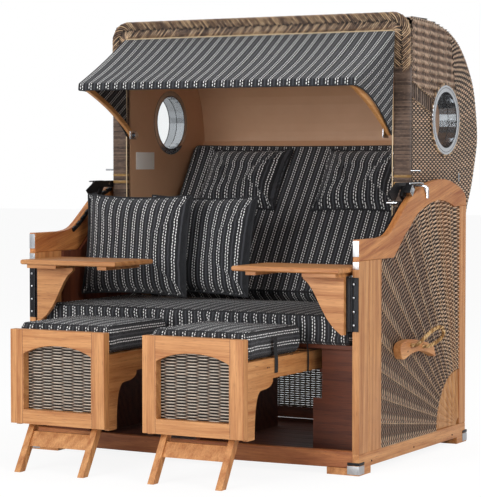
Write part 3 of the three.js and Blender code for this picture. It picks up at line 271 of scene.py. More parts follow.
def turned_bar(profile: Array, axis: str, centre: Point, sides: int = 24) -> Shape:
    """Profile of distance along an axis and radius, turned about that axis.

    Args:
        profile: Rows of distance and radius; the first and last radius are usually 0.
        axis: x, y or z.
        centre: Where distance 0 is.
        sides: Points round it.

    Returns:
        The turned shape.
    """
    angle = turn_steps(sides)
    along, radius = np.asarray(profile, float).T
    c, s = np.outer(radius, np.cos(angle)), np.outer(radius, np.sin(angle))
    d = np.repeat(along[:, None], sides, 1)
    order = {"x": (d, c, s), "y": (s, d, c), "z": (c, s, d)}[axis]
    points = np.stack(order, -1) + np.array(centre)
    pattern = lattice(run_of(np.asarray(profile, float)), np.linspace(0, 1, sides + 1))
    return Shape.sheet(points, pattern, False, True).turned()


def box_faces(size: Array, lines: Callable[[float], Array], wrapped: bool = False) -> Shape:
    """Six gridded sides of a box that starts at the origin.

    Args:
        size: Its three measures.
        lines: Gives the places of the grid's lines along a measure.
        wrapped: Whether the pattern goes on from the top down the two side walls.

    Returns:
        The closed box, its pattern in metres.
    """
    faces = []
    for axis in range(3):
        u, v = [k for k in range(3) if k != axis]
        grid = lattice(lines(size[u]), lines(size[v]))
        pattern = grid
        if wrapped and axis == 0:
            pattern = np.stack([size[0] + size[2] - grid[..., 1], grid[..., 0]], -1)
        for end in (0, 1):
            points = np.zeros(grid.shape[:2] + (3,))
            points[..., u], points[..., v] = grid[..., 0], grid[..., 1]
            points[..., axis] = end * size[axis]
            face = Shape.sheet(points, pattern)
            faces.append(face.turned() if (end == 0) != (axis == 1) else face)
    return Shape.join(faces)


def rounded_box(low: Point, high: Point, round_by: float) -> Shape:
    """Box with rounded edges: a fine cube whose points are drawn onto the ball round an inner box.

    Args:
        low: Lowest corner.
        high: Highest corner.
        round_by: Radius of the edges.

    Returns:
        The closed box.
    """
    low, high = np.array(low, float), np.array(high, float)
    size = high - low
    r = min(round_by, size.min() / 2)
    box = box_faces(size, lambda side: np.concatenate([np.linspace(0, r, 4), np.linspace(side - r, side, 4)]))
    core = np.clip(box.points, r, size - r)
    out = box.points - core
    # The distance from the inner box is brought to the radius, so edges and corners become round
    box.points = low + core + unit(out) * r * (np.linalg.norm(out, axis=1, keepdims=True) > 1e-9)
    return box


def ribbons(start: Array, across: Array | Point, widths: Array | float, length: Array) -> Shape:
    """Flat strands side by side: each is a strip between its line and that line moved across.

    Args:
        start: Strands by steps by three, the middle line of each strand.
        across: Direction across the strands: one, or one for each strand and step.
        widths: One width, or one for each strand and step.
        length: Strands by steps, how far each strand has gone in the pattern, in stakes where it is woven.

    Returns:
        One shape with every strand, whose pattern holds how far it has gone, and the strand's number plus
        the share across it.
    """
    strands, steps = start.shape[:2]
    half = np.array(across) * np.broadcast_to(widths, (strands, steps))[..., None] / 2
    edges = np.stack([start - half, start + half], 2)
    index = np.arange(strands * steps * 2).reshape(strands, steps, 2)
    corner_of = (index[:, :-1, 0], index[:, 1:, 0], index[:, 1:, 1], index[:, :-1, 1])
    quads = np.stack(corner_of, -1).reshape(-1, 4)
    number = np.broadcast_to(np.arange(strands)[:, None], (strands, steps))
    low = np.stack([length, number + 0.02], -1)
    high = np.stack([length, number + 0.98], -1)
    corners = np.stack([low[:, :-1], low[:, 1:], high[:, 1:], high[:, :-1]], -2).reshape(-1, 4, 2)
    return Shape(edges.reshape(-1, 3), quads, corners)


def inside_outline(points: Array, outline: Array) -> Array:
    """Whether points of a plane lie inside a closed outline, by counting crossings to one side."""
    x, y = points[:, 0, None], points[:, 1, None]
    x0, y0 = outline.T
    x1, y1 = np.roll(outline, -1, 0).T
    crosses = ((y0 > y) != (y1 > y)) & (x < (x1 - x0) * (y - y0) / np.where(y1 == y0, 1e-12, y1 - y0) + x0)
    return crosses.sum(1) % 2 == 1


def linked(name: str, data: bpy.types.ID) -> Piece:
    """New object in the scene that shows some data."""
    made = bpy.data.objects.new(name, data)
    bpy.context.scene.collection.objects.link(made)
    return made


def publish(name: str, shape: Shape, material: Material, body: str,
            replaces: tuple[str, ...] = (), seam: float = 40.0) -> Piece:
    """Makes a Blender piece of a shape and hangs it on a body of the frame.

    Args:
        name: Name of the piece.
        shape: Its faces, with depths counted from the front of the posts.
        material: Its finish.
        body: The body that it rides on, or nothing for a piece on no body.
        replaces: Nodes of the model that it stands for.
        seam: Angle in degrees above which an edge stays sharp.

    Returns:
        The object.
    """
    mesh = bpy.data.meshes.new(name)
    points = shape.points + np.array([0.0, DEPTH_SHIFT, 0.0])
    count = len(shape.quads)
    mesh.vertices.add(len(points))
    mesh.vertices.foreach_set("co", points.astype(np.float32).ravel())
    mesh.loops.add(count * 4)
    mesh.loops.foreach_set("vertex_index", shape.quads.astype(np.int32).ravel())
    mesh.polygons.add(count)
    mesh.polygons.foreach_set("loop_start", np.arange(0, count * 4, 4, dtype=np.int32))
    mesh.update(calc_edges=True)
    layer = mesh.uv_layers.new(name="UVMap")
    layer.data.foreach_set("uv", shape.corners.astype(np.float32).ravel())
    mesh.validate()
    mesh.polygons.foreach_set("use_smooth", np.full(len(mesh.polygons), True))
    mesh.set_sharp_from_angle(angle=math.radians(seam))
    mesh.materials.append(material)
    piece = linked(name, mesh)
    if body:
        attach(piece, body)
    if replaces:
        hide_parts(*replaces)
    LOG.info("%s: %d faces on %s", name, count, body)
    return piece


def both_sides(*rows: tuple) -> None:
    """Publishes shapes on the right, and their twins on the left.

    Args:
        rows: Stem of the name, shape, finish, body and slot, and then the stem of the node that the
            piece replaces, where it does.
    """
    for name, sign in SIDES:
        for stem, shape, material, body, slot, *stems in rows:
            nodes = tuple(f"{node}_{name}" for node in stems)
            publish(f"{stem}_{name}", shape.on_side(sign), material, body, nodes)


# Finishes

def linear(code: str) -> tuple[float, float, float, float]:
    """Colour code of two digits a channel, as the linear values that a shader takes."""
    parts = [int(code[i:i + 2], 16) / 255 for i in (0, 2, 4)]
    return tuple(c / 12.92 if c <= 0.04045 else ((c + 0.055) / 1.055) ** 2.4 for c in parts) + (1.0,)


class Graph:
    """Short words for the nodes of one tree."""

    def __init__(self, tree: bpy.types.NodeTree) -> None:
        """Takes the tree to add to."""
        self.tree = tree

    def node(self, kind: str, inputs: dict | None = None, **settings) -> bpy.types.Node:
        """Adds a node; inputs are numbers, colours or the sockets that feed it."""
        made = self.tree.nodes.new(kind)
        for key, value in settings.items():
            setattr(made, key, value)
        for key, value in (inputs or {}).items():
            socket = made.inputs[key]
            if isinstance(value, Socket):
                self.tree.links.new(value, socket)
            else:
                socket.default_value = value
        return made

    def sum(self, operation: str, a, b=0.0, c=0.0) -> Socket:
        """One step of arithmetic on numbers or sockets."""
        return self.node("ShaderNodeMath", {0: a, 1: b, 2: c}, operation=operation).outputs[0]

    def times(self, a, b) -> Socket:
        """Product a x b."""
        return self.sum("MULTIPLY", a, b)

    def scaled(self, a, b, c) -> Socket:
        """Product and sum a x b + c."""
        return self.sum("MULTIPLY_ADD", a, b, c)

    def less(self, a, b) -> Socket:
        """Difference a - b."""
        return self.sum("SUBTRACT", a, b)

    def size(self, a) -> Socket:
        """A number without its sign."""
        return self.sum("ABSOLUTE", a)

    def rest(self, a) -> Socket:
        """What a number has past its whole part."""
        return self.sum("FRACT", a)

    def here(self) -> Socket:
        """Place on the piece, in metres."""
        return self.node("ShaderNodeTexCoord").outputs["Object"]

    def pattern(self) -> Socket:
        """The piece's own pattern."""
        return self.node("ShaderNodeUVMap", uv_map="UVMap").outputs[0]

    def mix(self, share, a, b) -> Socket:
        """Colour between two colours."""
        return self.node("ShaderNodeMix", {0: share, 6: a, 7: b}, data_type="RGBA").outputs[2]

    def ramp(self, value, stops: list[tuple[float, tuple]]) -> Socket:
        """Colour from a table of places and colours."""
        made = self.node("ShaderNodeValToRGB", {0: value})
        table = made.color_ramp.elements
        while len(table) < len(stops):
            table.new(0.5)
        for element, (place, colour) in zip(table, stops):
            element.position, element.color = place, colour
        return made.outputs[0]

    def fit(self, value, low: float, high: float, new_low=0.0, new_high=1.0) -> Socket:
        """Maps one range of numbers onto another, held at its ends."""
        inputs = {0: value, 1: low, 2: high, 3: new_low, 4: new_high}
        return self.node("ShaderNodeMapRange", inputs).outputs[0]

    def noise(self, vector, scale: float, detail: float = 3.0, rough: float = 0.5) -> Socket:
        """Soft noise from 0 to 1 at a place."""
        inputs = {"Vector": vector, "Scale": scale, "Detail": detail, "Roughness": rough}
        return self.node("ShaderNodeTexNoise", inputs).outputs["Fac"]

    def stretched(self, vector, scale: Point, turn: Point = (0, 0, 0),
                  place: Point = (0, 0, 0)) -> Socket:
        """Moves, turns and stretches a place."""
        inputs = {"Vector": vector, "Location": place, "Rotation": turn, "Scale": scale}
        return self.node("ShaderNodeMapping", inputs).outputs[0]

    def parts(self, vector) -> list[Socket]:
        """The three numbers of a place."""
        return list(self.node("ShaderNodeSeparateXYZ", {0: vector}).outputs)

    def place(self, x, y, z=0.0) -> Socket:
        """A place from three numbers."""
        return self.node("ShaderNodeCombineXYZ", {0: x, 1: y, 2: z}).outputs[0]

    def group(self, kind: Effect, inputs: dict) -> bpy.types.Node:
        """Places a shared group."""
        return self.node("ShaderNodeGroup", inputs, node_tree=effect(kind))


class Effect(Enum):
    """Shader groups that several finishes share."""

    CANE = "cane strand"
    GRAIN = "wood grain"
    WEAVE = "cloth weave"
    PORES = "fine pores"
    AGE = "handling and dust"


SOCKETS = {
    Effect.CANE: ((("Pattern", "Vector"), ("Streak", "Float")), ("Tone", "Crown", "Over", "Fleck")),
    Effect.GRAIN: ((("Place", "Vector"), ("Rings", "Float")), ("Tone", "Pores", "Height")),
    Effect.WEAVE: ((("Pattern", "Vector"), ("Pitch", "Float")), ("Thread", "Band", "Height", "Tone")),
    Effect.PORES: ((("Place", "Vector"), ("Size", "Float")), ("Height", "Tone")),
    Effect.AGE: ((("Place", "Vector"), ("Amount", "Float")), ("Mask",)),
}


def effect(kind: Effect) -> bpy.types.NodeTree:
    """Builds a shared group once, and returns it."""
    found = bpy.data.node_groups.get(kind.value)
    if found:
        return found
    tree = bpy.data.node_groups.new(kind.value, "ShaderNodeTree")
    takes, gives = SOCKETS[kind]
    for name, sort in takes:
        tree.interface.new_socket(name, in_out="INPUT", socket_type=f"NodeSocket{sort}")
    for name in gives:
        tree.interface.new_socket(name, in_out="OUTPUT", socket_type="NodeSocketFloat")
    g = Graph(tree)
    source = tree.nodes.new("NodeGroupInput").outputs
    sink = tree.nodes.new("NodeGroupOutput")
    results = {Effect.CANE: cane_strand, Effect.GRAIN: wood_grain, Effect.WEAVE: cloth_weave,
               Effect.PORES: fine_pores, Effect.AGE: handling}[kind](g, source)
    for name, socket in zip(gives, results):
        tree.links.new(socket, sink.inputs[name])
    return tree


def cane_strand(g: Graph, source) -> tuple:
    """Tone of one strand, its round crown, where it lies on top, and pale flecks.

    The pattern's first number counts stakes and its second counts strands, so cos(pi x (stakes + strand))
    is 1 where a strand passes over and -1 where it passes under.
    """
    along, number, _ = g.parts(source["Pattern"])
    strand = g.sum("FLOOR", number)
    across = g.rest(number)
    own = g.node("ShaderNodeTexWhiteNoise", {"W": strand}, noise_dimensions="1D").outputs["Value"]
    place = g.place(g.times(along, source["Streak"]), g.times(strand, 7.31), own)
    streak = g.noise(place, 1.0, 2.0, 0.6)
    tone = g.scaled(own, 0.46, g.times(streak, 0.70))
    centred = g.scaled(across, 2.0, -1.0)
    crown = g.less(1.0, g.times(centred, centred))
    turn = g.times(g.sum("ADD", along, strand), math.pi)
    over = g.scaled(g.sum("COSINE", turn), 0.5, 0.5)
    fine = g.noise(g.place(g.times(along, g.times(source["Streak"], 6.0)), number, 0.0), 1.0, 1.0)
    return tone, crown, over, g.fit(g.times(fine, streak), 0.30, 0.44)


def wood_grain(g: Graph, source) -> tuple:
    """Year rings as a bent wave across the grain, which runs along X, with fine dark pores along it."""
    place = source["Place"]
    bend = g.noise(g.stretched(place, (1.1, 7.0, 7.0)), 1.0, 2.0)
    _, y, z = g.parts(place)
    level = g.times(g.scaled(z, 0.6, y), source["Rings"])
    rings = g.scaled(bend, 4.0, level)
    wave = g.scaled(g.sum("SINE", g.times(rings, 6.2832)), 0.5, 0.5)
    fibre = g.noise(g.stretched(place, (7.0, 190.0, 190.0)), 1.0, 3.0, 0.65)
    broad = g.noise(g.stretched(place, (2.0, 40.0, 40.0)), 1.0, 3.0)
    tone = g.scaled(wave, 0.13, g.scaled(fibre, 0.54, g.times(broad, 0.38)))
    pores = g.fit(g.noise(g.stretched(place, (26.0, 700.0, 700.0)), 1.0, 1.0), 0.62, 0.74)
    return tone, pores, g.less(fibre, pores)


def cloth_weave(g: Graph, source) -> tuple:
    """Light dashed threads in pairs, a grey band between them, a fine weave, and a soft change of tone."""
    across, along, _ = g.parts(source["Pattern"])
    share = g.rest(g.sum("DIVIDE", across, source["Pitch"]))
    lines = g.times(share, 1 / 0.24)
    near = g.size(g.less(g.rest(lines), 0.5))
    thread = g.times(g.fit(near, 0.15, 0.20, 1.0, 0.0), g.sum("LESS_THAN", lines, 2.0))
    dash = g.rest(g.scaled(along, 84.0, g.times(g.sum("FLOOR", lines), 0.37)))
    dashed = g.fit(g.size(g.less(dash, 0.5)), 0.28, 0.34, 1.0, 0.06)
    band = g.fit(g.size(g.less(share, 0.74)), 0.06, 0.09, 1.0, 0.0)
    weft = g.sum("SINE", g.times(along, 3900.0))
    warp = g.sum("SINE", g.times(across, 3900.0))
    height = g.scaled(g.times(weft, warp), 0.5, 0.5)
    tone = g.noise(g.stretched(source["Pattern"], (60.0, 18.0, 1.0)), 1.0, 3.0)
    return g.times(thread, dashed), band, height, tone


def fine_pores(g: Graph, source) -> tuple:
    """Small cells with creases between them, as on grained leather or cast metal."""
    cells = g.node("ShaderNodeTexVoronoi", {"Vector": source["Place"], "Scale": source["Size"]},
                   feature="SMOOTH_F1").outputs["Distance"]
    return g.fit(cells, 0.0, 0.7), g.noise(source["Place"], 5.0, 4.0)


def handling(g: Graph, source) -> tuple:
    """Soft patches of dust and handling."""
    patches = g.noise(source["Place"], 3.2, 5.0, 0.62)
    return (g.times(g.fit(patches, 0.42, 0.72), source["Amount"]),)


@dataclass(frozen=True)
class Finish:
    """What every finish shares: a name, a main and a second colour, and how rough it is."""

    name: str
    main: str
    second: str
    roughness: float = 0.5

    def begin(self, suffix: str = "") -> tuple[Material, Graph, bpy.types.Node]:
        """New material with one Principled shader, and the graph to add to."""
        material = bpy.data.materials.new(self.name + suffix)
        material.use_nodes = True
        shader = material.node_tree.nodes["Principled BSDF"]
        shader.inputs["Roughness"].default_value = self.roughness
        return material, Graph(material.node_tree), shader

    @staticmethod
    def wire(g: Graph, shader: bpy.types.Node, feeds: dict) -> None:
        """Feeds sockets of the shader."""
        for key, socket in feeds.items():
            g.tree.links.new(socket, shader.inputs[key])

    @staticmethod
    def bump(g: Graph, height, distance: float, strength: float = 1.0) -> Socket:
        """Normal of a height."""
        inputs = {"Height": height, "Distance": distance, "Strength": strength}
        return g.node("ShaderNodeBump", inputs).outputs["Normal"]


class Grain(Enum):
    """Turns that bring a board's long direction onto X."""

    ALONG_X = (0.0, 0.0, 0.0)
    ALONG_Y = (0.0, 0.0, -math.pi / 2)
    ALONG_Z = (0.0, math.pi / 2, 0.0)
    SLOPED = (-0.24, 0.0, -math.pi / 2)


@dataclass(frozen=True)
class Wood(Finish):
    """Oiled hardwood with grain along a board."""

    rings: float = 26.0
    pore: str = "6b3a1c"

    def fibre(self, g: Graph, place, grain: Grain, seed: float) -> bpy.types.Node:
        """Grain of one board; the seed shifts it, so that boards differ."""
        turned = g.stretched(place, (1, 1, 1), grain.value, (seed * 1.7, seed * 3.1, seed * 0.9))
        return g.group(Effect.GRAIN, {"Place": turned, "Rings": self.rings + 5 * math.sin(seed * 5)})

    def finish(self, g: Graph, shader: bpy.types.Node, seed: float, tone, pores, height, joint=None) -> None:
        """Colours a board by its tone and pores, and darkens its joint where it has one."""
        shade = 0.90 + 0.16 * ((seed * 0.618) % 1)
        colours = linear(self.main), linear(self.second)
        pale, deep = (tuple(c * shade for c in colour[:3]) + (1.0,) for colour in colours)
        middle = tuple((a + b) / 2 for a, b in zip(pale, deep))
        colour = g.ramp(tone, [(0.30, pale), (0.52, middle), (0.72, deep)])
        colour = g.mix(g.times(pores, 0.65), colour, linear(self.pore))
        age = g.group(Effect.AGE, {"Place": g.here(), "Amount": 0.3})
        colour = g.mix(age.outputs["Mask"], colour, deep)
        if joint is not None:
            colour = g.mix(joint, colour, linear(self.pore))
        rough = g.fit(tone, 0.2, 0.9, self.roughness - 0.08, self.roughness + 0.12)
        self.wire(g, shader, {"Base Color": colour, "Roughness": rough,
                              "Normal": self.bump(g, height, 0.0004, 0.5)})
        shader.inputs["Coat Weight"].default_value = 0.12
        shader.inputs["Coat Roughness"].default_value = 0.35

    def material(self, grain: Grain, seed: float = 0.0) -> Material:
        """Material of one board."""
        material, g, shader = self.begin(f" {grain.name.lower()} {seed:g}")
        fibre = self.fibre(g, g.here(), grain, seed).outputs
        self.finish(g, shader, seed, fibre["Tone"], fibre["Pores"], fibre["Height"])
        return material

    def framed(self, low: float, high: float, seed: float = 0.0) -> Material:
        """Material of a frame: rails with level grain between two widths, and upright stiles beside them."""
        material, g, shader = self.begin(f" framed {seed:g}")
        place = g.here()
        x = g.parts(place)[0]
        off = g.less(g.size(g.less(x, (low + high) / 2)), (high - low) / 2)
        stile = g.sum("GREATER_THAN", off, 0.0)
        rails = self.fibre(g, place, Grain.ALONG_X, seed).outputs
        stiles = self.fibre(g, place, Grain.ALONG_Z, seed + 1).outputs
        tone, pores, height = (g.node("ShaderNodeMix", {0: stile, 2: rails[k], 3: stiles[k]}).outputs[0]
                               for k in ("Tone", "Pores", "Height"))
        joint = g.sum("LESS_THAN", g.size(off), 0.0009)
        self.finish(g, shader, seed, tone, pores, height, joint)
        return material


@dataclass(frozen=True)
class Cane(Finish):
    """Woven flat strands in mixed browns, each with its own tone, a painted highlight on top and painted
    shade where they dip.
    """

    shadow: str = "24170f"
    # Colour of the strands' pale spots and of the painted highlight on their crests
    fleck: str = "ecd9bd"
    streak: float = 0.45
    crown: float = 0.0016
    # light: share of painted highlight where a strand passes over; dip: share of painted shade where it
    # passes under
    light: float = 0.45
    dip: float = 0.85
    flecked: float = 0.5

    def colour(self, g: Graph, strand: bpy.types.Node):
        """Colour of the strands, without the painted highlight and shade of their passing over and under."""
        stops = [(0.22, linear(self.shadow)), (0.46, linear(self.second)), (0.80, linear(self.main))]
        colour = g.ramp(strand.outputs["Tone"], stops)
        return g.mix(g.times(strand.outputs["Fleck"], self.flecked), colour, linear(self.fleck))

    def shade(self, g: Graph, colour):
        """Painted shade that a field of strands adds to the finished colour; here none."""
        return colour

    def material(self) -> Material:
        """Material that reads the strands' own pattern."""
        material, g, shader = self.begin()
        pattern = g.pattern()
        strand = g.group(Effect.CANE, {"Pattern": pattern, "Streak": self.streak})
        colour = self.colour(g, strand)
        # Painted highlight where a strand passes over, painted shade where it dips under, and painted shade
        # along its edges
        colour = g.mix(g.fit(strand.outputs["Over"], 0.45, 0.80, 0.0, self.light), colour, linear(self.fleck))
        colour = g.mix(g.fit(strand.outputs["Over"], 0.20, 0.50, self.dip, 0.0), colour, linear(self.shadow))
        colour = g.mix(g.fit(strand.outputs["Crown"], 0.0, 0.6, 0.85, 0.0), colour, linear(self.shadow))
        rough = g.fit(strand.outputs["Tone"], 0.2, 0.9, self.roughness, self.roughness - 0.15)
        self.wire(g, shader, {"Base Color": self.shade(g, colour), "Roughness": rough,
                              "Normal": self.bump(g, strand.outputs["Crown"], self.crown)})
        return material


@dataclass(frozen=True)
class PleatedCane(Cane):
    """Cane over fan-like pleats: painted shade on the broad faces, so narrow ones look lighter, and golden
    near the rear post.
    """

    stakes: float = 3.0
    broad: float = 0.62
    # Colour of the painted shade on the broad faces
    dark: str = "4c3024"
    gold: str = "b87a42"
    gold_stakes: float = 10.0

    def shade(self, g: Graph, colour):
        """Paints shade on the broad faces towards the front, and yellows the first stakes."""
        count = g.parts(g.pattern())[0]
        share = g.rest(g.sum("DIVIDE", count, self.stakes))
        # Painted shade on the broad face of every pleat, away from the first stakes
        broad = g.fit(g.less(share, self.broad), -0.02, 0.02, 0.58, 0.0)
        front = g.fit(count, self.gold_stakes, self.gold_stakes + 3.0)
        colour = g.mix(g.times(broad, front), colour, linear(self.dark))
        tint = g.noise(g.place(count, 0.0, 0.0), 0.31, 1.0)
        return g.mix(g.times(g.fit(count, self.gold_stakes, 0.0), g.fit(tint, 0.4, 0.6, 0.0, 0.55)),
                     colour, linear(self.gold))


@dataclass(frozen=True)
class StripedCloth(Finish):
    """Dark woven cloth with light dashed threads in pairs and a grey band between them."""

    pitch: float = 0.039
    thread: str = "ffffff"
    band: str = "4c4d53"

    def material(self) -> Material:
        """Material that reads the cloth's own cut, in metres."""
        material, g, shader = self.begin()
        pattern = g.pattern()
        weave = g.group(Effect.WEAVE, {"Pattern": pattern, "Pitch": self.pitch})
        base = g.mix(weave.outputs["Tone"], linear(self.main), linear(self.second))
        base = g.mix(g.times(weave.outputs["Band"], 0.7), base, linear(self.band))
        colour = g.mix(weave.outputs["Thread"], base, linear(self.thread))
        folds = g.noise(g.here(), 14.0, 3.0)
        height = g.scaled(folds, 5.0, weave.outputs["Height"])
        self.wire(g, shader, {"Base Color": colour, "Normal": self.bump(g, height, 0.0006)})
        shader.inputs["Sheen Weight"].default_value = 0.12
        shader.inputs["Sheen Roughness"].default_value = 0.4
        return material


@dataclass(frozen=True)
class Grained(Finish):
    """Grained sheet or plain coated stuff: leatherette, webbing, cast metal or paint."""

    size: float = 700.0
    depth: float = 0.0003
    metallic: float = 0.0

    def material(self) -> Material:
        """Material with small cells and soft patches."""
        material, g, shader = self.begin()
        place = g.here()
        pores = g.group(Effect.PORES, {"Place": place, "Size": self.size})
        age = g.group(Effect.AGE, {"Place": place, "Amount": 0.6})
        main, second = linear(self.main), linear(self.second)
        colour = g.mix(age.outputs["Mask"], g.mix(pores.outputs["Tone"], main, second), second)
        rough = g.fit(pores.outputs["Tone"], 0.3, 0.7, self.roughness - 0.06, self.roughness + 0.08)
        self.wire(g, shader, {"Base Color": colour, "Roughness": rough,
                              "Normal": self.bump(g, pores.outputs["Height"], self.depth)})
        shader.inputs["Metallic"].default_value = self.metallic
        return material


@dataclass(frozen=True)
class Brushed(Finish):
    """Bright metal with fine brush lines."""

    lines: float = 900.0

    def material(self) -> Material:
        """Material with stretched lines in its roughness and height."""
        material, g, shader = self.begin()
        place = g.here()
        lines = g.noise(g.stretched(place, (self.lines, self.lines, 40.0)), 1.0, 2.0)
        age = g.group(Effect.AGE, {"Place": place, "Amount": 0.5})
        colour = g.mix(age.outputs["Mask"], linear(self.main), linear(self.second))
        rough = g.fit(lines, 0.3, 0.7, self.roughness - 0.05, self.roughness + 0.1)
        self.wire(g, shader, {"Base Color": colour, "Roughness": rough,
                              "Normal": self.bump(g, lines, 0.00006)})
        shader.inputs["Metallic"].default_value = 1.0
        return material


@dataclass(frozen=True)
class ClearPane(Finish):
    """Clear round pane with a breath of dust."""

    def material(self) -> Material:
        """Glass whose roughness changes a little over the pane."""
        material, g, shader = self.begin()
        age = g.group(Effect.AGE, {"Place": g.here(), "Amount": 0.3})
        colour = g.mix(age.outputs["Mask"], linear(self.main), linear(self.second))
        rough = g.fit(age.outputs["Mask"], 0.0, 0.3, self.roughness, self.roughness + 0.02)
        self.wire(g, shader, {"Base Color": colour, "Roughness": rough})
        shader.inputs["Transmission Weight"].default_value = 1.0
        shader.inputs["IOR"].default_value = 1.1
        return material


OILED_WOOD = Wood("oiled wood", "e2a66a", "a2602c", 0.46)
ARM_WOOD = Wood("warm wood", "de9a58", "984f20", 0.46, rings=34.0)
PLINTH_WOOD = Wood("amber wood", "c67e45", "87441d", 0.48)
# Darker reddish copy of the wood for the parts inside the base; its darkness is painted shade
SHADE_DARKENED_WOOD = Wood("shade darkened wood", "84421f", "4a1e10", 0.5, pore="2a120a")
PALE_WOOD = Wood("slatted pale wood", "dca467", "a46a34", 0.5, rings=18.0)
# Each cane's light is its painted highlight on the crests, and its dip the painted shade where strands pass
# under
SIDE_CANE = PleatedCane("side cane", "b4835c", "5e3d2a", 0.5, shadow="190e08", fleck="ecccac", light=0.60,
                        dip=0.97)
MIXED_CANE = Cane("mixed cane", "a97f62", "583a2a", 0.5, shadow="190f0a", fleck="f0d0b0", light=0.58,
                  dip=0.96)
PALE_CANE = Cane("pale cane", "c69f82", "86634c", 0.5, shadow="38261c", light=0.20, dip=0.55)
BRAID_CANE = Cane("braid cane", "cdab84", "6d4f39", 0.5, shadow="1a100a", light=0.0, dip=0.0, streak=60.0)
WOUND_CANE = Cane("wound cane", "7f6859", "5a483e", 0.5, shadow="352923", fleck="9a8270", light=0.0, dip=0.0,
                  streak=60.0, flecked=0.2)
TIE_CANE = Cane("golden cane", "c9a062", "94703c", 0.5, shadow="5a3a1c", light=0.0, dip=0.0, streak=8.0)
CREASE_CANE = Cane("light cane", "c2a079", "8e6c4c", 0.5, shadow="4a3020", light=0.0, dip=0.0, streak=8.0)
PATCH_CANE = Cane("smooth cane", "9a7f71", "66503f", 0.5, shadow="382823", light=0.0, dip=0.0, streak=12.0)
# Cane of the rear panel inside the base, darkened as painted shade
DARK_CANE = Cane("dark cane", "4c382c", "2c1e17", 0.5, shadow="150d09", light=0.1, dip=0.9)
FOOT_CANE = Cane("footrest cane", "9a806c", "54443a", 0.5, shadow="150e0a", fleck="efe3d2", light=0.5,
                 dip=0.96)
STRIPED = StripedCloth("striped cloth", "202126", "151619", 0.9)
LINING = Grained("lining", "dcae8a", "c69874", 0.42)
PIPING = Grained("piping", "6b4f3c", "58402f", 0.45, size=1200.0)
EDGING = Grained("dark edging", "1f2024", "16171a", 0.8, size=1500.0)
# Near-black sheet under woven parts: painted shade in the gaps between strands
SHADE_BACKING = Grained("shade backing", "1f1510", "160f0b", 0.9, size=500.0, depth=0.0006)
WEBBING = Grained("webbing", "202124", "17181a", 0.8, size=1400.0, depth=0.0005)
BLANK_PLATE = Grained("blank plate", "f6f4f0", "e6e2da", 0.40, size=900.0)
BEAD = Grained("pale bead", "ead6b4", "ceb48c", 0.5)
# Black rings at the window's steel ring: partly a seal, partly painted shade along its edges
SEAL_AND_EDGE_SHADE = Grained("black seal and edge shade", "1c1b1b", "121111", 0.55, size=1800.0)
POLISHED = Brushed("polished steel", "bcbfc3", "8f9296", 0.16)
SATIN = Brushed("satin steel", "c6c8cb", "94979b", 0.3)
BLACKENED = Grained("blackened steel", "1d1d1f", "2b2b2e", 0.38, size=1600.0, depth=0.0001, metallic=0.7)
SISAL = Cane("twisted rope", "e0b67c", "a2743c", 0.85, shadow="553617", fleck="f2dcae", streak=30.0,
             crown=0.0008, light=0.0, dip=0.0)
PANE = ClearPane("clear pane", "f4f7f7", "e8eced", 0.0)


# Studio

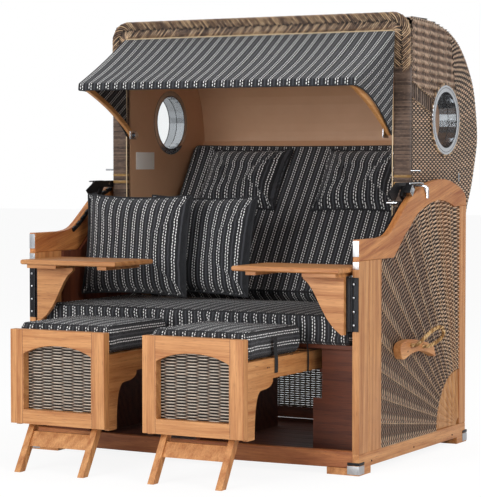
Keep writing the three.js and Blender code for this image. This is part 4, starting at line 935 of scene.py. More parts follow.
@dataclass(frozen=True)
class Studio:
    """Plain pale floor and backdrop, soft lamps, and the camera of the photograph."""

    eye: Point = (3.60076, -6.52552, 1.10721)
    yaw: float = 28.69
    down: float = 2.60
    lens: float = 141.92
    camera_glow: float = 1.05
    ambient: float = 0.46
    lamps: tuple[tuple[str, Point, Point, float, float], ...] = (
        ("front lamp", (-0.8, -5.2, 1.9), (0.0, 0.0, 0.8), 2.2, 138.0),
        ("side lamp", (4.6, -1.6, 2.8), (0.2, 0.1, 0.8), 2.0, 84.0),
        ("top lamp", (0.3, 1.6, 4.4), (0.0, 0.2, 0.8), 2.4, 50.0))

    def camera(self) -> None:
        """Places the camera: it looks along the yaw, a little down."""
        data = bpy.data.cameras.new("camera")
        data.lens, data.sensor_width = self.lens, 36.0
        made = linked("camera", data)
        made.location = self.eye
        made.rotation_euler = (math.radians(90 - self.down), 0.0, math.radians(self.yaw))
        bpy.context.scene.camera = made

    def floor(self) -> None:
        """Floor that shows white to the camera but keeps the shadow."""
        mesh = bpy.data.meshes.new("floor")
        mesh.from_pydata([(-30, -30, 0), (30, -30, 0), (30, 30, 0), (-30, 30, 0)], [], [(0, 1, 2, 3)])
        floor = linked("floor", mesh)
        material = bpy.data.materials.new("pale floor")
        material.use_nodes = True
        g = Graph(material.node_tree)
        shader = material.node_tree.nodes["Principled BSDF"]
        shader.inputs["Base Color"].default_value = (0.9, 0.9, 0.9, 1)
        shader.inputs["Roughness"].default_value = 0.9
        shader.inputs["Specular IOR Level"].default_value = 0.0
        glow = g.node("ShaderNodeEmission", {"Color": (1, 1, 1, 1), "Strength": self.camera_glow})
        seen = g.times(g.node("ShaderNodeLightPath").outputs["Is Camera Ray"], 0.85)
        blend = g.node("ShaderNodeMixShader", {0: seen, 1: shader.outputs[0], 2: glow.outputs[0]})
        material.node_tree.links.new(blend.outputs[0], material.node_tree.nodes["Material Output"].inputs[0])
        mesh.materials.append(material)

    def world(self) -> None:
        """Even grey light from all round; the camera, metal and glass see it white."""
        world = bpy.data.worlds.new("studio")
        bpy.context.scene.world = world
        world.use_nodes = True
        g = Graph(world.node_tree)
        path = g.node("ShaderNodeLightPath").outputs
        shine = g.sum("MAXIMUM", g.times(path["Is Glossy Ray"], 0.7), path["Is Transmission Ray"])
        strength = g.fit(g.sum("MAXIMUM", path["Is Camera Ray"], shine), 0.0, 1.0, self.ambient, 1.0)
        back = world.node_tree.nodes["Background"]
        back.inputs["Color"].default_value = (1, 1, 1, 1)
        world.node_tree.links.new(strength, back.inputs["Strength"])

    @staticmethod
    def lamp(name: str, place: Point, aim: Point, size: float,
             watts: float) -> None:
        """Square soft lamp at a place, aimed at another."""
        data = bpy.data.lights.new(name, "AREA")
        data.shape, data.size, data.energy = "SQUARE", size, watts
        made = linked(name, data)
        made.location = place
        look = Vector(aim) - Vector(place)
        made.rotation_euler = look.to_track_quat("-Z", "Y").to_euler()

    def build(self) -> None:
        """Makes the whole studio."""
        scene = bpy.context.scene
        scene.view_settings.view_transform = "Standard"
        self.camera()
        self.floor()
        self.world()
        for lamp in self.lamps:
            self.lamp(*lamp)
        LOG.info("studio ready")


# Outlines in depth and height

def outline_of(node: Piece, width: float, centre: Array, apart: float = 0.0) -> Array:
    """Closed outline where an upright plane at a width cuts a node.

    Every edge that crosses the plane gives a + (b - a) x share, and the points are put in order by their
    angle round a centre. A point closer to the last one than 0.3 mm is left out.

    Args:
        node: The node of the model.
        width: Where the plane stands.
        centre: Depth and height of a point that sees the whole outline.
        apart: Distance from the centre below which points belong to an opening and are left out.

    Returns:
        Points of depth and height.
    """
    mesh = node.data
    points = np.empty(len(mesh.vertices) * 3, np.float32)
    mesh.vertices.foreach_get("co", points)
    points = points.reshape(-1, 3).astype(float) - np.array([0.0, DEPTH_SHIFT, 0.0])
    ends = np.empty(len(mesh.edges) * 2, np.int32)
    mesh.edges.foreach_get("vertices", ends)
    a, b = points[ends.reshape(-1, 2)].transpose(1, 0, 2)
    crossing = (a[:, 0] - width) * (b[:, 0] - width) < 0
    a, b = a[crossing], b[crossing]
    cut = (a + (b - a) * ((width - a[:, :1]) / (b[:, :1] - a[:, :1])))[:, 1:]
    cut = cut[np.linalg.norm(cut - centre, axis=1) > apart]
    cut = cut[np.argsort(-np.arctan2(cut[:, 1] - centre[1], cut[:, 0] - centre[0]))]
    return cut[np.linalg.norm(cut - np.roll(cut, 1, 0), axis=1) > 0.0003]


def edge_distance(points: Array, outline: Array) -> Array:
    """Distance from points of a plane to the nearest side of a closed outline."""
    start, end = outline, np.roll(outline, -1, 0)
    side = end - start
    rel = points[:, None] - start[None]
    share = np.clip((rel * side[None]).sum(-1) / (side ** 2).sum(-1), 0, 1)
    return np.linalg.norm(rel - share[..., None] * side[None], axis=-1).min(1)


@dataclass
class Outlines:
    """Outlines that the weaves fill, cut from the nodes that they replace."""

    opening: Array
    hood: Array
    crest: Array
    window: Array

    @staticmethod
    def of(nodes: dict[str, Piece]) -> Outlines:
        """Cuts the frame's opening, the hood's side and the crest that the shell follows."""
        low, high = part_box("window_pane_right")
        window = np.array([(low.y + high.y) / 2 - DEPTH_SHIFT, (low.z + high.z) / 2])
        opening = outline_of(nodes["side_wicker_right"], 0.6815, np.array([0.55, 0.45]))
        middle = np.array([0.75, 1.15])
        plate = outline_of(nodes["hood_side_right"], 0.635, window, 0.15)
        plate = plate[np.argsort(-np.arctan2(plate[:, 1] - middle[1], plate[:, 0] - middle[0]))]
        start = int(np.argmin(plate[:, 0] - 0.01 * plate[:, 1]))
        plate = np.roll(plate, -start, 0)
        crest = plate[: int(np.argmax((plate[:, 1] < 0.50) & (plate[:, 0] > middle[0])))]
        return Outlines(opening, plate, crest, window)


# The base

@dataclass
class PleatedSides:
    """Wicker sides of the base: strands run as arcs round the lower rear corner, over fan-like pleats.

    Every pleat has a broad face towards the front and a narrow one towards the rear. Three stakes cross
    a pleat, and the strands pass over and under them.
    """

    outlines: Outlines
    first_radius: float = 0.2185
    last_radius: float = 1.02
    pleats: int = 13
    broad: float = 0.62
    stakes: int = 3
    fold_depth: float = 0.0095
    face: float = 0.6925
    pitch: float = 0.0079
    bulge: float = 0.0013
    crease: float = 0.0014
    crease_out: float = 0.0006
    full_radius: float = 0.9
    backing_depths: Pair = (-0.0024, -0.0030)

    def corner(self) -> Array:
        """Lower rear corner of the opening, where the fan starts."""
        return np.array([self.outlines.opening[:, 0].max(), self.outlines.opening[:, 1].min()])

    def surface(self, radius: Array, angle: Array) -> Array:
        """Width of the folds: face - depth x (share of a pleat / its broad or narrow part) x sqrt(reach)."""
        share = ((angle - math.pi / 2) * 2 * self.pleats / math.pi) % 1
        fold = np.where(share < self.broad, share / self.broad, (1 - share) / (1 - self.broad))
        span = self.full_radius - self.first_radius
        reach = np.clip((radius - self.first_radius) / span, 0, 1)
        return self.face - self.fold_depth * fold * np.sqrt(reach)

    def place(self, radius: Array, angle: Array, proud: Array | float = 0.0) -> Array:
        """Points at radii and angles round the corner, on the folded surface."""
        corner = self.corner()
        y = corner[0] + radius * np.cos(angle)
        z = corner[1] + radius * np.sin(angle)
        return np.stack([self.surface(radius, angle) + proud, y, z], -1)

    def trimmed(self, shape: Shape, margin: float) -> Shape:
        """Cuts a shape to the frame's opening."""
        centres, opening = shape.centres()[:, 1:], self.outlines.opening
        return shape.kept(inside_outline(centres, opening) | (edge_distance(centres, opening) < margin))

    def strands(self) -> Shape:
        """Arcs of cane; the offset is bulge x cos(pi x stakes + pi x strand), and they narrow as they dip."""
        count = int((self.last_radius - self.first_radius) / self.pitch)
        radii = self.first_radius + self.pitch * (np.arange(count) + 0.5)
        steps = self.pleats * self.stakes
        angles = np.linspace(math.pi / 2, math.pi, steps * 4 + 1)
        r, a = np.meshgrid(radii, angles, indexing="ij")
        passed = (a - math.pi / 2) * 2 * steps / math.pi
        wave = np.cos(np.pi * (passed + np.arange(count)[:, None]))
        inward = np.stack([0 * a, -np.cos(a), -np.sin(a)], -1)
        widths = self.pitch * (0.84 + 0.12 * wave)
        return self.trimmed(ribbons(self.place(r, a, self.bulge * wave), inward, widths, passed), 0.003)

    def creases(self) -> Shape:
        """Thin round stakes along every outer fold."""
        bars = []
        for index in range(self.pleats + 1):
            r = np.linspace(self.first_radius, self.last_radius, 70)
            angle = np.full_like(r, math.pi / 2 * (1 + index / self.pleats))
            line = self.place(r, angle, self.crease_out)
            inside = inside_outline(line[:, 1:], self.outlines.opening)
            if inside.sum() > 3:
                bars.append(tube(line[inside], self.crease, 6, (1, 0, 0)))
        return Shape.join(bars)

    def backing(self) -> Shape:
        """Dark closed sheet behind the strands, as painted shade in their gaps."""
        radii = np.linspace(self.first_radius - 0.002, self.last_radius, 90)
        angles = np.linspace(math.pi / 2, math.pi, 8 * self.pleats + 1)
        r, a = np.meshgrid(radii, angles, indexing="ij")
        pattern = lattice(radii, angles)
        sheets = [Shape.sheet(self.place(r, a, proud), pattern) for proud in self.backing_depths]
        return self.trimmed(Shape.join([sheets[0].turned(), sheets[1]]), 0.004)

    def build(self) -> None:
        """Both sides: strands, creases and backing."""
        cane, crease, backing = SIDE_CANE.material(), CREASE_CANE.material(), SHADE_BACKING.material()
        both_sides(("side_weave", self.strands(), cane, "base", "wicker", "side_wicker"),
                   ("side_creases", self.creases(), crease, "base", "wicker"),
                   ("side_backing", self.backing(), backing, "base", "wicker"))


@dataclass
class FlatWeave:
    """Plain weave in a rectangle or an outline, seen from the front or back."""

    low: Pair
    high: Pair
    pitch: float = 0.008
    stake: float = 0.016
    bulge: float = 0.0012
    gap: float = 0.0
    outline: Array | None = None

    def shape(self, plane: float, facing: float = 1.0) -> Shape:
        """Strands side by side across the rectangle, over and under stakes.

        The offset from the plane is bulge x cos(pi x stakes passed + pi x strand), and the width shrinks
        where a strand dips.

        Args:
            plane: Depth of the plane.
            facing: 1 when it faces back, -1 when it faces the front.

        Returns:
            The strands.
        """
        width, height = self.high[0] - self.low[0], self.high[1] - self.low[1]
        count = max(1, round(height / self.pitch))
        pitch = height / count
        run = np.linspace(self.low[0], self.high[0], max(3, round(width / self.stake * 4)) + 1)
        u, v = np.meshgrid(run, self.low[1] + pitch * (np.arange(count) + 0.5))
        passed = (u - self.low[0]) / self.stake
        wave = np.cos(np.pi * (passed + np.arange(count)[:, None]))
        start = np.stack([u, plane + facing * self.bulge * wave, v], -1)
        shape = ribbons(start, (0, 0, 1), pitch * (0.83 - self.gap + 0.12 * wave), passed)
        if self.outline is not None:
            shape = shape.kept(inside_outline(shape.centres()[:, [0, 2]], self.outline))
        return shape.turned() if facing > 0 else shape

    def stakes(self, plane: float, radius: float) -> Shape:
        """Upright stakes that the strands pass."""
        spots = np.arange(self.low[0] + self.stake, self.high[0], self.stake)
        lines = [np.array([(x, plane, self.low[1]), (x, plane, self.high[1])]) for x in spots]
        return Shape.join([tube(line, radius, 6, (0, 1, 0)) for line in lines])


@dataclass
class Woodwork:
    """Finishes of the wooden nodes, each with grain along its board."""

    boards: dict[str, tuple[Grain, Wood]] = field(default_factory=lambda: {
        "bottom_rail": (Grain.ALONG_Y, OILED_WOOD), "front_post": (Grain.ALONG_Z, OILED_WOOD),
        "rear_post": (Grain.ALONG_Z, OILED_WOOD), "arm_rail": (Grain.SLOPED, ARM_WOOD),
        "table": (Grain.ALONG_X, OILED_WOOD), "handle_block": (Grain.ALONG_Y, OILED_WOOD),
        "footrest_box": (Grain.ALONG_Y, OILED_WOOD), "footrest_legs": (Grain.ALONG_Z, OILED_WOOD),
        # The side boards take the darker wood, as painted shade
        "corner_fan": (Grain.ALONG_Z, PALE_WOOD), "side_board": (Grain.ALONG_Z, SHADE_DARKENED_WOOD)})
    rebate: float = 0.004

    def build(self, nodes: dict[str, Piece]) -> None:
        """Dresses the wooden nodes of both sides and the middle ones."""
        for index, (stem, (grain, wood)) in enumerate(self.boards.items()):
            for name, sign in SIDES:
                dress(nodes[f"{stem}_{name}"], wood.material(grain, 1.0 + index * 0.7 + 0.31 * sign))
        for name, sign in SIDES:
            low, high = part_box(f"footrest_wicker_{name}")
            frame = OILED_WOOD.framed(low.x + self.rebate, high.x - self.rebate, 3.1 + sign)
            dress(nodes[f"footrest_panel_{name}"], frame)
        dress(nodes["front_plinth"], PLINTH_WOOD.material(Grain.ALONG_X, 9.0))
        # The seat's carcass sits in shade, painted into its darker wood
        dress(nodes["seat_carcass"], SHADE_DARKENED_WOOD.material(Grain.ALONG_X, 10.0))
        dress(nodes["awning_frame"], PALE_WOOD.material(Grain.ALONG_Y, 5.5))
        LOG.info("woodwork dressed")


def dress(node: Piece, material: Material) -> None:
    """Gives a node of the model its finish."""
    node.data.materials.clear()
    node.data.materials.append(material)


@dataclass
class RearPanel:
    """Frame behind the seat: four members round a loose weave that light falls through."""

    member: float = 0.045
    depth: float = 0.031
    pitch: float = 0.0090
    stake: float = 0.024
    stake_radius: float = 0.0026
    bulge: float = 0.0020
    gap: float = -0.03
    apart: float = 0.0006
    edge: float = 0.003

    def build(self) -> None:
        """Members, weave and its stakes, inside the node's box."""
        low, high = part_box("rear_panel")
        x, z0, z1 = high.x - 0.0003, low.z, high.z
        y0, y1 = low.y - DEPTH_SHIFT + 0.001, low.y - DEPTH_SHIFT + self.depth
        m = self.member
        rails = [rounded_box((-x, y0, z), (x, y1, z + m), self.edge) for z in (z0, z1 - m)]
        middles = [s * (x - m / 2) for s in (RIGHT, LEFT)]
        stiles = [rounded_box((at - m / 2, y0 + 0.0005, z0 + m), (at + m / 2, y1, z1 - m), self.edge)
                  for at in middles]
        # Rails and stiles inside the base take the darker wood, as painted shade
        publish("rear_rails", Shape.join(rails), SHADE_DARKENED_WOOD.material(Grain.ALONG_X, 12.0), "base",
                ("rear_panel",))
        publish("rear_stiles", Shape.join(stiles), SHADE_DARKENED_WOOD.material(Grain.ALONG_Z, 12.7), "base")
        middle = (y0 + y1) / 2
        weave = FlatWeave((-x + m, z0 + m), (x - m, z1 - m), self.pitch, self.stake, self.bulge, self.gap)
        faces = [weave.shape(middle + self.apart * side, side) for side in (1.0, -1.0)]
        # The rear weave is darkened as painted shade inside the base
        publish("rear_weave", Shape.join(faces), DARK_CANE.material(), "base")
        stakes = weave.stakes(middle, self.stake_radius)
        publish("rear_stakes", stakes, WOUND_CANE.material(), "base")


# The hood

class Zone(Enum):
    """Fields of the hood's side."""

    FINE = "fine rows"
    PATCH = "smooth patch"
    COARSE = "coarse bands"


@dataclass
class HoodWeave:
    """Wicker of the hood: two sides and the shell that goes over the roof and down the back."""

    outlines: Outlines
    face: float = 0.6500
    edge_round: float = 0.010
    row: float = 0.0080
    stake: float = 0.0175
    bulge: float = 0.0013
    band: float = 0.0290
    band_bulge: float = 0.0026
    band_fall: float = 0.05
    front: float = 0.552
    rear: float = 1.212
    low: float = 0.395
    high: float = 1.66
    rise_heights: tuple[float, ...] = (0.9, 1.26, 1.42, 1.52)
    rises: tuple[float, ...] = (0.0, 0.2, 0.55, 0.8)
    edge_straight: float = 0.60
    seam_high: float = 1.398
    seam_low: float = 1.337
    seam_fall: float = 0.314
    seam_radius: float = 0.0036
    patch_rear: float = 0.745
    patch_low: float = 1.26
    patch_pitch: float = 0.0052
    patch_width: float = 0.0047
    coarse_rear: float = 0.968
    coarse_low: float = 1.28
    coarse_spread: float = 1.12
    sway: float = 0.0024
    window_clear: float = 0.1330
    backing_in: float = 0.0035
    bend_from: float = 0.930
    half: float = 0.6485
    shell_row: float = 0.0080
    shell_stake: float = 0.0190
    border_in: float = 0.0044
    border_radius: float = 0.0075

    def side_place(self, y: Array, z: Array, proud: Array | float) -> Array:
        """Points on the hood's side, which turns inwards by a quarter circle at its outline."""
        flat = np.stack([y.ravel(), z.ravel()], -1)
        gap = edge_distance(flat, self.outlines.hood).reshape(y.shape)
        gap = np.where(y < self.edge_straight, self.edge_round, gap)
        t = np.clip(1 - gap / self.edge_round, 0, 1)
        drop = self.edge_round * (1 - np.sqrt(np.clip(1 - t ** 2, 0, 1)))
        return np.stack([self.face - drop + proud, y, z], -1)

    def clip(self, shape: Shape, zone: Zone) -> Shape:
        """Keeps what lies inside the side's outline, outside the window, and in one field."""
        c = shape.centres()[:, 1:]
        y, z = c.T
        inside = inside_outline(c, self.outlines.hood)
        inside &= np.linalg.norm(c - self.outlines.window, axis=1) > self.window_clear
        inside &= (y < self.edge_straight) | (edge_distance(c, self.outlines.hood) > self.border_in)
        high = self.seam_high - self.seam_fall * (y - self.front)
        low = self.seam_low - self.seam_fall * (y - self.front)
        coarse = (z > high) & (y < self.coarse_rear - 0.25 * (z - self.seam_high))
        patch = (z <= high) & (z > low) & (y < self.patch_rear)
        field_of = {Zone.COARSE: coarse, Zone.PATCH: patch, Zone.FINE: ~coarse & ~patch}
        return shape.kept(inside & field_of[zone])

    def fine(self) -> Shape:
        """Rows over and under upright stakes: level below and before the window, rising behind it.

        The height is z + rise(z) x (depth - bend), where the rise grows with the row's height.
        """
        z = np.arange(self.low, self.high, self.row)
        y = np.arange(self.front + 0.0005, self.rear, self.stake / 3)
        u, v = np.meshgrid(y, z)
        rise = np.interp(v, self.rise_heights, self.rises)
        v = v + rise * np.clip(u - self.bend_from, 0, None)
        passed = (u - self.front) / self.stake
        wave = np.cos(np.pi * (passed + np.arange(len(z))[:, None]))
        start = self.side_place(u, v, self.bulge * wave)
        widths = np.gradient(v, axis=0) * (0.80 + 0.12 * wave)
        return self.clip(ribbons(start, (0, 0, 1), widths, passed), Zone.FINE)

    def coarse(self) -> Shape:
        """Upright, slightly wavy strands over wide bands, with cos(2 pi x bands passed) as their swell."""
        pitch = self.row * self.coarse_spread
        y = np.arange(self.front + 0.004, self.coarse_rear + 0.052, pitch)
        z = np.arange(self.coarse_low, self.high, self.band / 14)
        u, v = np.meshgrid(y, z, indexing="ij")
        number = np.arange(len(y))[:, None]
        passed = (v + self.band_fall * (u - self.front)) / self.band
        wave = np.cos(2 * np.pi * passed)
        sway = self.sway * np.sin(2 * np.pi * passed + number * 0.7)
        start = self.side_place(u + sway, v, self.band_bulge * wave - 0.0008)
        # The pattern counts bands so that cos(pi x (count + strand)) is this wave
        widths = pitch * (0.80 + 0.10 * wave)
        return self.clip(ribbons(start, (0, -1, 0), widths, 2 * passed - number), Zone.COARSE)

    def patch(self) -> Shape:
        """Smooth upright strands between the two seams before the window."""
        y = np.arange(self.front + 0.003, self.patch_rear + 0.01, self.patch_pitch)
        z = np.arange(self.patch_low, self.seam_high + 0.012, self.row)
        u, v = np.meshgrid(y, z, indexing="ij")
        start = self.side_place(u, v, 0.0016 * np.sin(np.arange(len(y)) * 1.7)[:, None] - 0.001)
        return self.clip(ribbons(start, (0, -1, 0), self.patch_width, v), Zone.PATCH)

    def seams(self) -> Shape:
        """Two cords that border the smooth patch."""
        cords = []
        for height, over in ((self.seam_high, 0.007), (self.seam_low, -0.007)):
            rear = self.patch_rear + over
            y = np.linspace(self.front + 0.002, rear, 40)
            path = np.stack([0 * y + self.face + 0.001, y, height - self.seam_fall * (y - self.front)], -1)
            cords.append(tube(path, self.seam_radius, 10, (1, 0, 0), lobes=2, depth=0.35, lay=0.016))
        return Shape.join(cords)

    def backing(self) -> Shape:
        """Dark sheet under the side's strands, as painted shade in their gaps."""
        y = np.linspace(self.front + 0.0005, self.rear - 0.006, 110)
        z = np.linspace(self.low + 0.003, self.high - 0.020, 170)
        u, v = np.meshgrid(y, z, indexing="ij")
        shape = Shape.sheet(self.side_place(u, v, -self.backing_in), lattice(y, z))
        c, hood = shape.centres()[:, 1:], self.outlines.hood
        return shape.kept((inside_outline(c, hood) | (edge_distance(c, hood) < 0.004))
                          & (np.linalg.norm(c - self.outlines.window, axis=1) > self.window_clear - 0.008))

    def border(self) -> Shape:
        """Twisted cords along the edge between each side and the shell."""
        line = even_path(self.outlines.crest, 0.006)
        path = np.concatenate([np.full((len(line), 1), self.half - self.border_in), line], 1)
        path[:, 1:] -= self.shell_lines(0.006)[1] * self.border_in
        cord = tube(path, self.border_radius, 12, (1, 0, 0), lobes=3, depth=0.42, lay=0.030)
        return Shape.join([cord, cord.mirrored()])

    def shell_lines(self, spacing: float) -> tuple[Array, Array]:
        """Outer curve of the roof and back at even steps, and its outward direction."""
        line = even_path(self.outlines.crest, spacing)
        tangent = unit(np.gradient(line, axis=0))
        return line, np.stack([-tangent[:, 1], tangent[:, 0]], -1)

    def shell(self) -> Shape:
        """Rows across the roof and back, over and under stakes that run down the shell."""
        line, out = self.shell_lines(self.shell_row)
        x = np.linspace(-self.half, self.half, round(2 * self.half / self.shell_stake) * 4 + 1)
        passed = np.broadcast_to((x / self.shell_stake)[None], (len(line), len(x)))
        wave = np.cos(np.pi * (passed + np.arange(len(line))[:, None]))
        drop = np.clip(np.abs(x) - (self.half - self.edge_round), 0, None)[None] / self.edge_round
        proud = self.bulge * wave - 0.0006 - self.edge_round * (1 - np.sqrt(np.clip(1 - drop ** 2, 0, 1)))
        start = np.stack([np.broadcast_to(x[None], wave.shape), line[:, 0, None] + out[:, 0, None] * proud,
                          line[:, 1, None] + out[:, 1, None] * proud], -1)
        tangent = unit(np.gradient(line, axis=0))
        across = np.stack([0 * tangent[:, 0], tangent[:, 0], tangent[:, 1]], -1)[:, None]
        return ribbons(start, across, self.shell_row * (0.82 + 0.12 * wave), passed)

    def shell_backing(self) -> Shape:
        """Dark sheet under the shell's rows, as painted shade in their gaps."""
        line, out = self.shell_lines(0.012)
        x = np.linspace(-self.half + 0.003, self.half - 0.003, 60)
        under = line - out * self.backing_in
        size = (len(line), len(x))
        points = np.stack([np.broadcast_to(x[None], size), np.broadcast_to(under[:, :1], size),
                           np.broadcast_to(under[:, 1:], size)], -1)
        return Shape.sheet(points, lattice(run_of(line), x))

    def build(self) -> None:
        """Sides, shell and their backing."""
        cane, backing = MIXED_CANE.material(), SHADE_BACKING.material()
        both_sides(("hood_rows", self.fine(), cane, "hood", "wicker", "hood_side"),
                   ("hood_bands", self.coarse(), PALE_CANE.material(), "hood", "wicker"),
                   ("hood_patch", self.patch(), PATCH_CANE.material(), "hood", "wicker"),
                   ("hood_seams", self.seams(), BRAID_CANE.material(), "hood", "wicker"),
                   ("hood_side_backing", self.backing(), backing, "hood", "wicker"))
        publish("shell_rows", self.shell(), cane, "hood", ("hood_shell",))
        publish("shell_backing", self.shell_backing(), backing, "hood")
        publish("shell_border", self.border(), MIXED_CANE.material(), "hood")


@dataclass
class HoodEdge:
    """Braided edge round the hood's opening: two rows of slanted strands above, a tight winding below."""

    outer: float = 0.6520
    inner: float = 0.5850
    front: float = 0.5225
    rear: float = 0.5520
    bottom: float = 0.7900
    change: float = 1.4330
    top: float = 1.6555
    under: float = 1.5895
    corner: float = 0.040
    wind_pitch: float = 0.0052
    group: float = 0.0360
    strands: int = 4
    slant: float = 0.054
    tie: float = 0.0110
    swell: float = 0.0008
    strand_half: Pair = (0.0025, 0.0024)
    sunk: float = 0.0024
    bead: float = 0.0022
    tie_heights: Pair = (1.012, 1.040)

    def section(self, count: int, round_by: float = 0.009) -> Array:
        """Closed rounded rectangle: across the band from -1 to 1, and depth, at even steps of its length."""
        w, d = (self.outer - self.inner) / 2, (self.rear - self.front) / 2
        angle = turn_steps(160)
        x = np.clip(np.cos(angle) * 9, -1, 1) * (w - round_by) + np.cos(angle) * round_by
        y = np.clip(np.sin(angle) * 9, -1, 1) * (d - round_by) + np.sin(angle) * round_by
        ring = np.stack([x, y], -1)
        ring = np.concatenate([ring, ring[:1]])
        return even_path(ring, run_of(ring)[-1] / count)[:-1]

    def wound_leg(self, low: float, high: float, grown: float = 1.0) -> Shape:
        """Upright bar whose surface swells with every turn of the winding: swell x |sin(pi z / pitch)|."""
        z = np.arange(low, high, self.wind_pitch / 4)
        ring = self.section(44) * grown
        out = unit(ring)
        swell = self.swell * (np.abs(np.sin(np.pi * z / self.wind_pitch)) - 1)
        x = (self.outer + self.inner) / 2 + ring[None, :, 0] + swell[:, None] * out[None, :, 0]
        y = (self.front + self.rear) / 2 + ring[None, :, 1] + swell[:, None] * out[None, :, 1]
        points = np.stack([x, y, np.broadcast_to(z[:, None], x.shape)], -1)
        caps = [np.broadcast_to(points[i].mean(0), points[i].shape)[None] for i in (0, -1)]
        gone = run_of(np.concatenate([ring, ring[:1]]))
        pattern = np.stack(np.meshgrid(gone, np.concatenate([z[:1], z, z[-1:]]) / self.wind_pitch), -1)
        return Shape.sheet(np.concatenate([caps[0], points, caps[1]]), pattern, False, True)

    def band_line(self) -> tuple[Array, Array]:
        """Middle line of the band up one leg, over the top and down the other, and its normal."""
        mid_x, mid_z = (self.outer + self.inner) / 2, (self.top + self.under) / 2
        angle = np.linspace(0, np.pi / 2, 14)
        cx, cz = mid_x - self.corner, mid_z - self.corner
        bend = np.stack([cx + self.corner * np.cos(angle), cz + self.corner * np.sin(angle)], -1)
        right = np.concatenate([[(mid_x, self.change)], bend])
        line = even_path(np.concatenate([right, right[::-1] * np.array([-1, 1])]), 0.002)
        tangent = unit(np.gradient(line, axis=0))
        return line, np.stack([tangent[:, 1], -tangent[:, 0]], -1)

    def braid(self) -> Shape:
        """Slanted strands in groups, two rows deep, that meet on the band's middle as chevrons.

        Each strand is an oval tube. Its middle line runs round half the band's section while it gains on
        the band's length, and sinks at both ends, so that the next group covers it.
        """
        line, normal = self.band_line()
        gone = run_of(line)
        length = gone[-1]
        half_width, half_depth = (self.outer - self.inner) / 2 - 0.001, (self.rear - self.front) / 2 - 0.0015
        pitch = self.group / self.strands
        count = int(length / pitch)
        t = np.linspace(0, 1, 15)
        pieces = []
        for row in (1.0, -1.0):
            index = np.arange(count)
            base = pitch * (index + 0.5) + (0.5 * self.group if row < 0 else 0.0)
            own = index % self.strands
            across = np.interp(t, [0, 0.50, 0.62, 1.0], [-0.10, 0.86, 1.0, 1.0]) * row
            depth = np.interp(t, [0, 0.50, 0.68, 1.0], [-1.0, -1.0, -0.62, 1.0])
            along = base[:, None] - (0.5 - np.clip(t, 0, 0.8))[None] * self.slant
            sink = self.sunk * (np.abs(2 * t - 1)[None] ** 3 + (own[:, None] == 0) / 3)
            at = np.clip(along, 0, length)
            cx, cz = np.interp(at, gone, line[:, 0]), np.interp(at, gone, line[:, 1])
            nx, nz = np.interp(at, gone, normal[:, 0]), np.interp(at, gone, normal[:, 1])
            w = across[None] * (half_width - sink)
            y = (self.front + self.rear) / 2 + depth[None] * (half_depth - sink)
            paths = np.stack([cx + nx * w, y, cz + nz * w], -1)
            pieces.append(self.oval_tubes(paths, *self.strand_half, 6, index + int(row * 500) + 500))
        return Shape.join(pieces)

    @staticmethod
    def oval_tubes(paths: Array, half_width: float, half_height: float, sides: int, numbers: Array) -> Shape:
        """Many short oval tubes at once, flattened towards the band's middle."""
        tangent = unit(np.gradient(paths, axis=1))
        away = np.zeros_like(paths)
        away[..., 1] = -1.0
        side = unit(np.cross(tangent, away + 0.001))
        lift = np.cross(side, tangent)
        angle = turn_steps(sides)
        ring = (paths[:, :, None] + np.cos(angle)[None, None, :, None] * side[:, :, None] * half_width
                + np.sin(angle)[None, None, :, None] * lift[:, :, None] * half_height)
        count, steps = paths.shape[:2]
        k = np.arange(count * steps * sides).reshape(count, steps, sides)
        nxt = np.roll(k, -1, 2)
        quads = np.stack([k[:, :-1], nxt[:, :-1], nxt[:, 1:], k[:, 1:]], -1).reshape(-1, 4)
        steps_gone = np.linalg.norm(np.diff(paths, axis=1), axis=2)
        length = np.concatenate([np.zeros((count, 1)), np.cumsum(steps_gone, 1)], 1)
        share = np.linspace(0.04, 0.96, sides + 1)
        u0, u1 = length[:, :-1, None] + 0 * share[:-1], length[:, 1:, None] + 0 * share[:-1]
        v0 = numbers[:, None, None] + np.broadcast_to(share[:-1], u0.shape)
        v1 = numbers[:, None, None] + np.broadcast_to(share[1:], u0.shape)
        corners = [np.stack(pair, -1) for pair in ((u0, v0), (u0, v1), (u1, v1), (u1, v0))]
        return Shape(ring.reshape(-1, 3), quads, np.stack(corners, -2).reshape(-1, 4, 2))

    def core(self) -> Shape:
        """Dark core that the braid lies on, as painted shade between its strands."""
        line, normal = self.band_line()
        ring = self.section(28) * 0.93
        x = line[:, None, 0] + normal[:, None, 0] * ring[None, :, 0]
        z = line[:, None, 1] + normal[:, None, 1] * ring[None, :, 0]
        y = np.broadcast_to((self.front + self.rear) / 2 + ring[None, :, 1], x.shape)
        pattern = lattice(run_of(line), np.linspace(0, 1, len(ring) + 1))
        return Shape.sheet(np.stack([x, y, z], -1), pattern, False, True)

    def trim(self) -> Shape:
        """Bright bead round the opening: up one leg's inner edge, under the braid, and down the other."""
        x, z = self.inner - 0.0010, self.under - 0.002
        corners = np.array([(x, self.bottom), (x, z), (-x, z), (-x, self.bottom)])
        line = even_path(corners, 0.006)
        path = np.stack([line[:, 0], np.full(len(line), self.front - 0.0005), line[:, 1]], -1)
        return tube(path, self.bead, 8, (0, 1, 0))

    def build(self) -> None:
        """Braid, winding, core and bead."""
        dark, gold = WOUND_CANE.material(), TIE_CANE.material()
        publish("edge_braid", self.braid(), BRAID_CANE.material(), "hood", ("hood_edge",))
        publish("edge_core", self.core(), SHADE_BACKING.material(), "hood")
        leg = self.wound_leg(self.bottom, self.change + 0.02)
        ties = Shape.join([self.wound_leg(low, low + self.tie, 1.012) for low in self.tie_heights])
        both_sides(("edge_winding", leg, dark, "hood", "wicker"), ("edge_ties", ties, gold, "hood", "wicker"))
        publish("edge_bead", self.trim(), BEAD.material(), "hood")


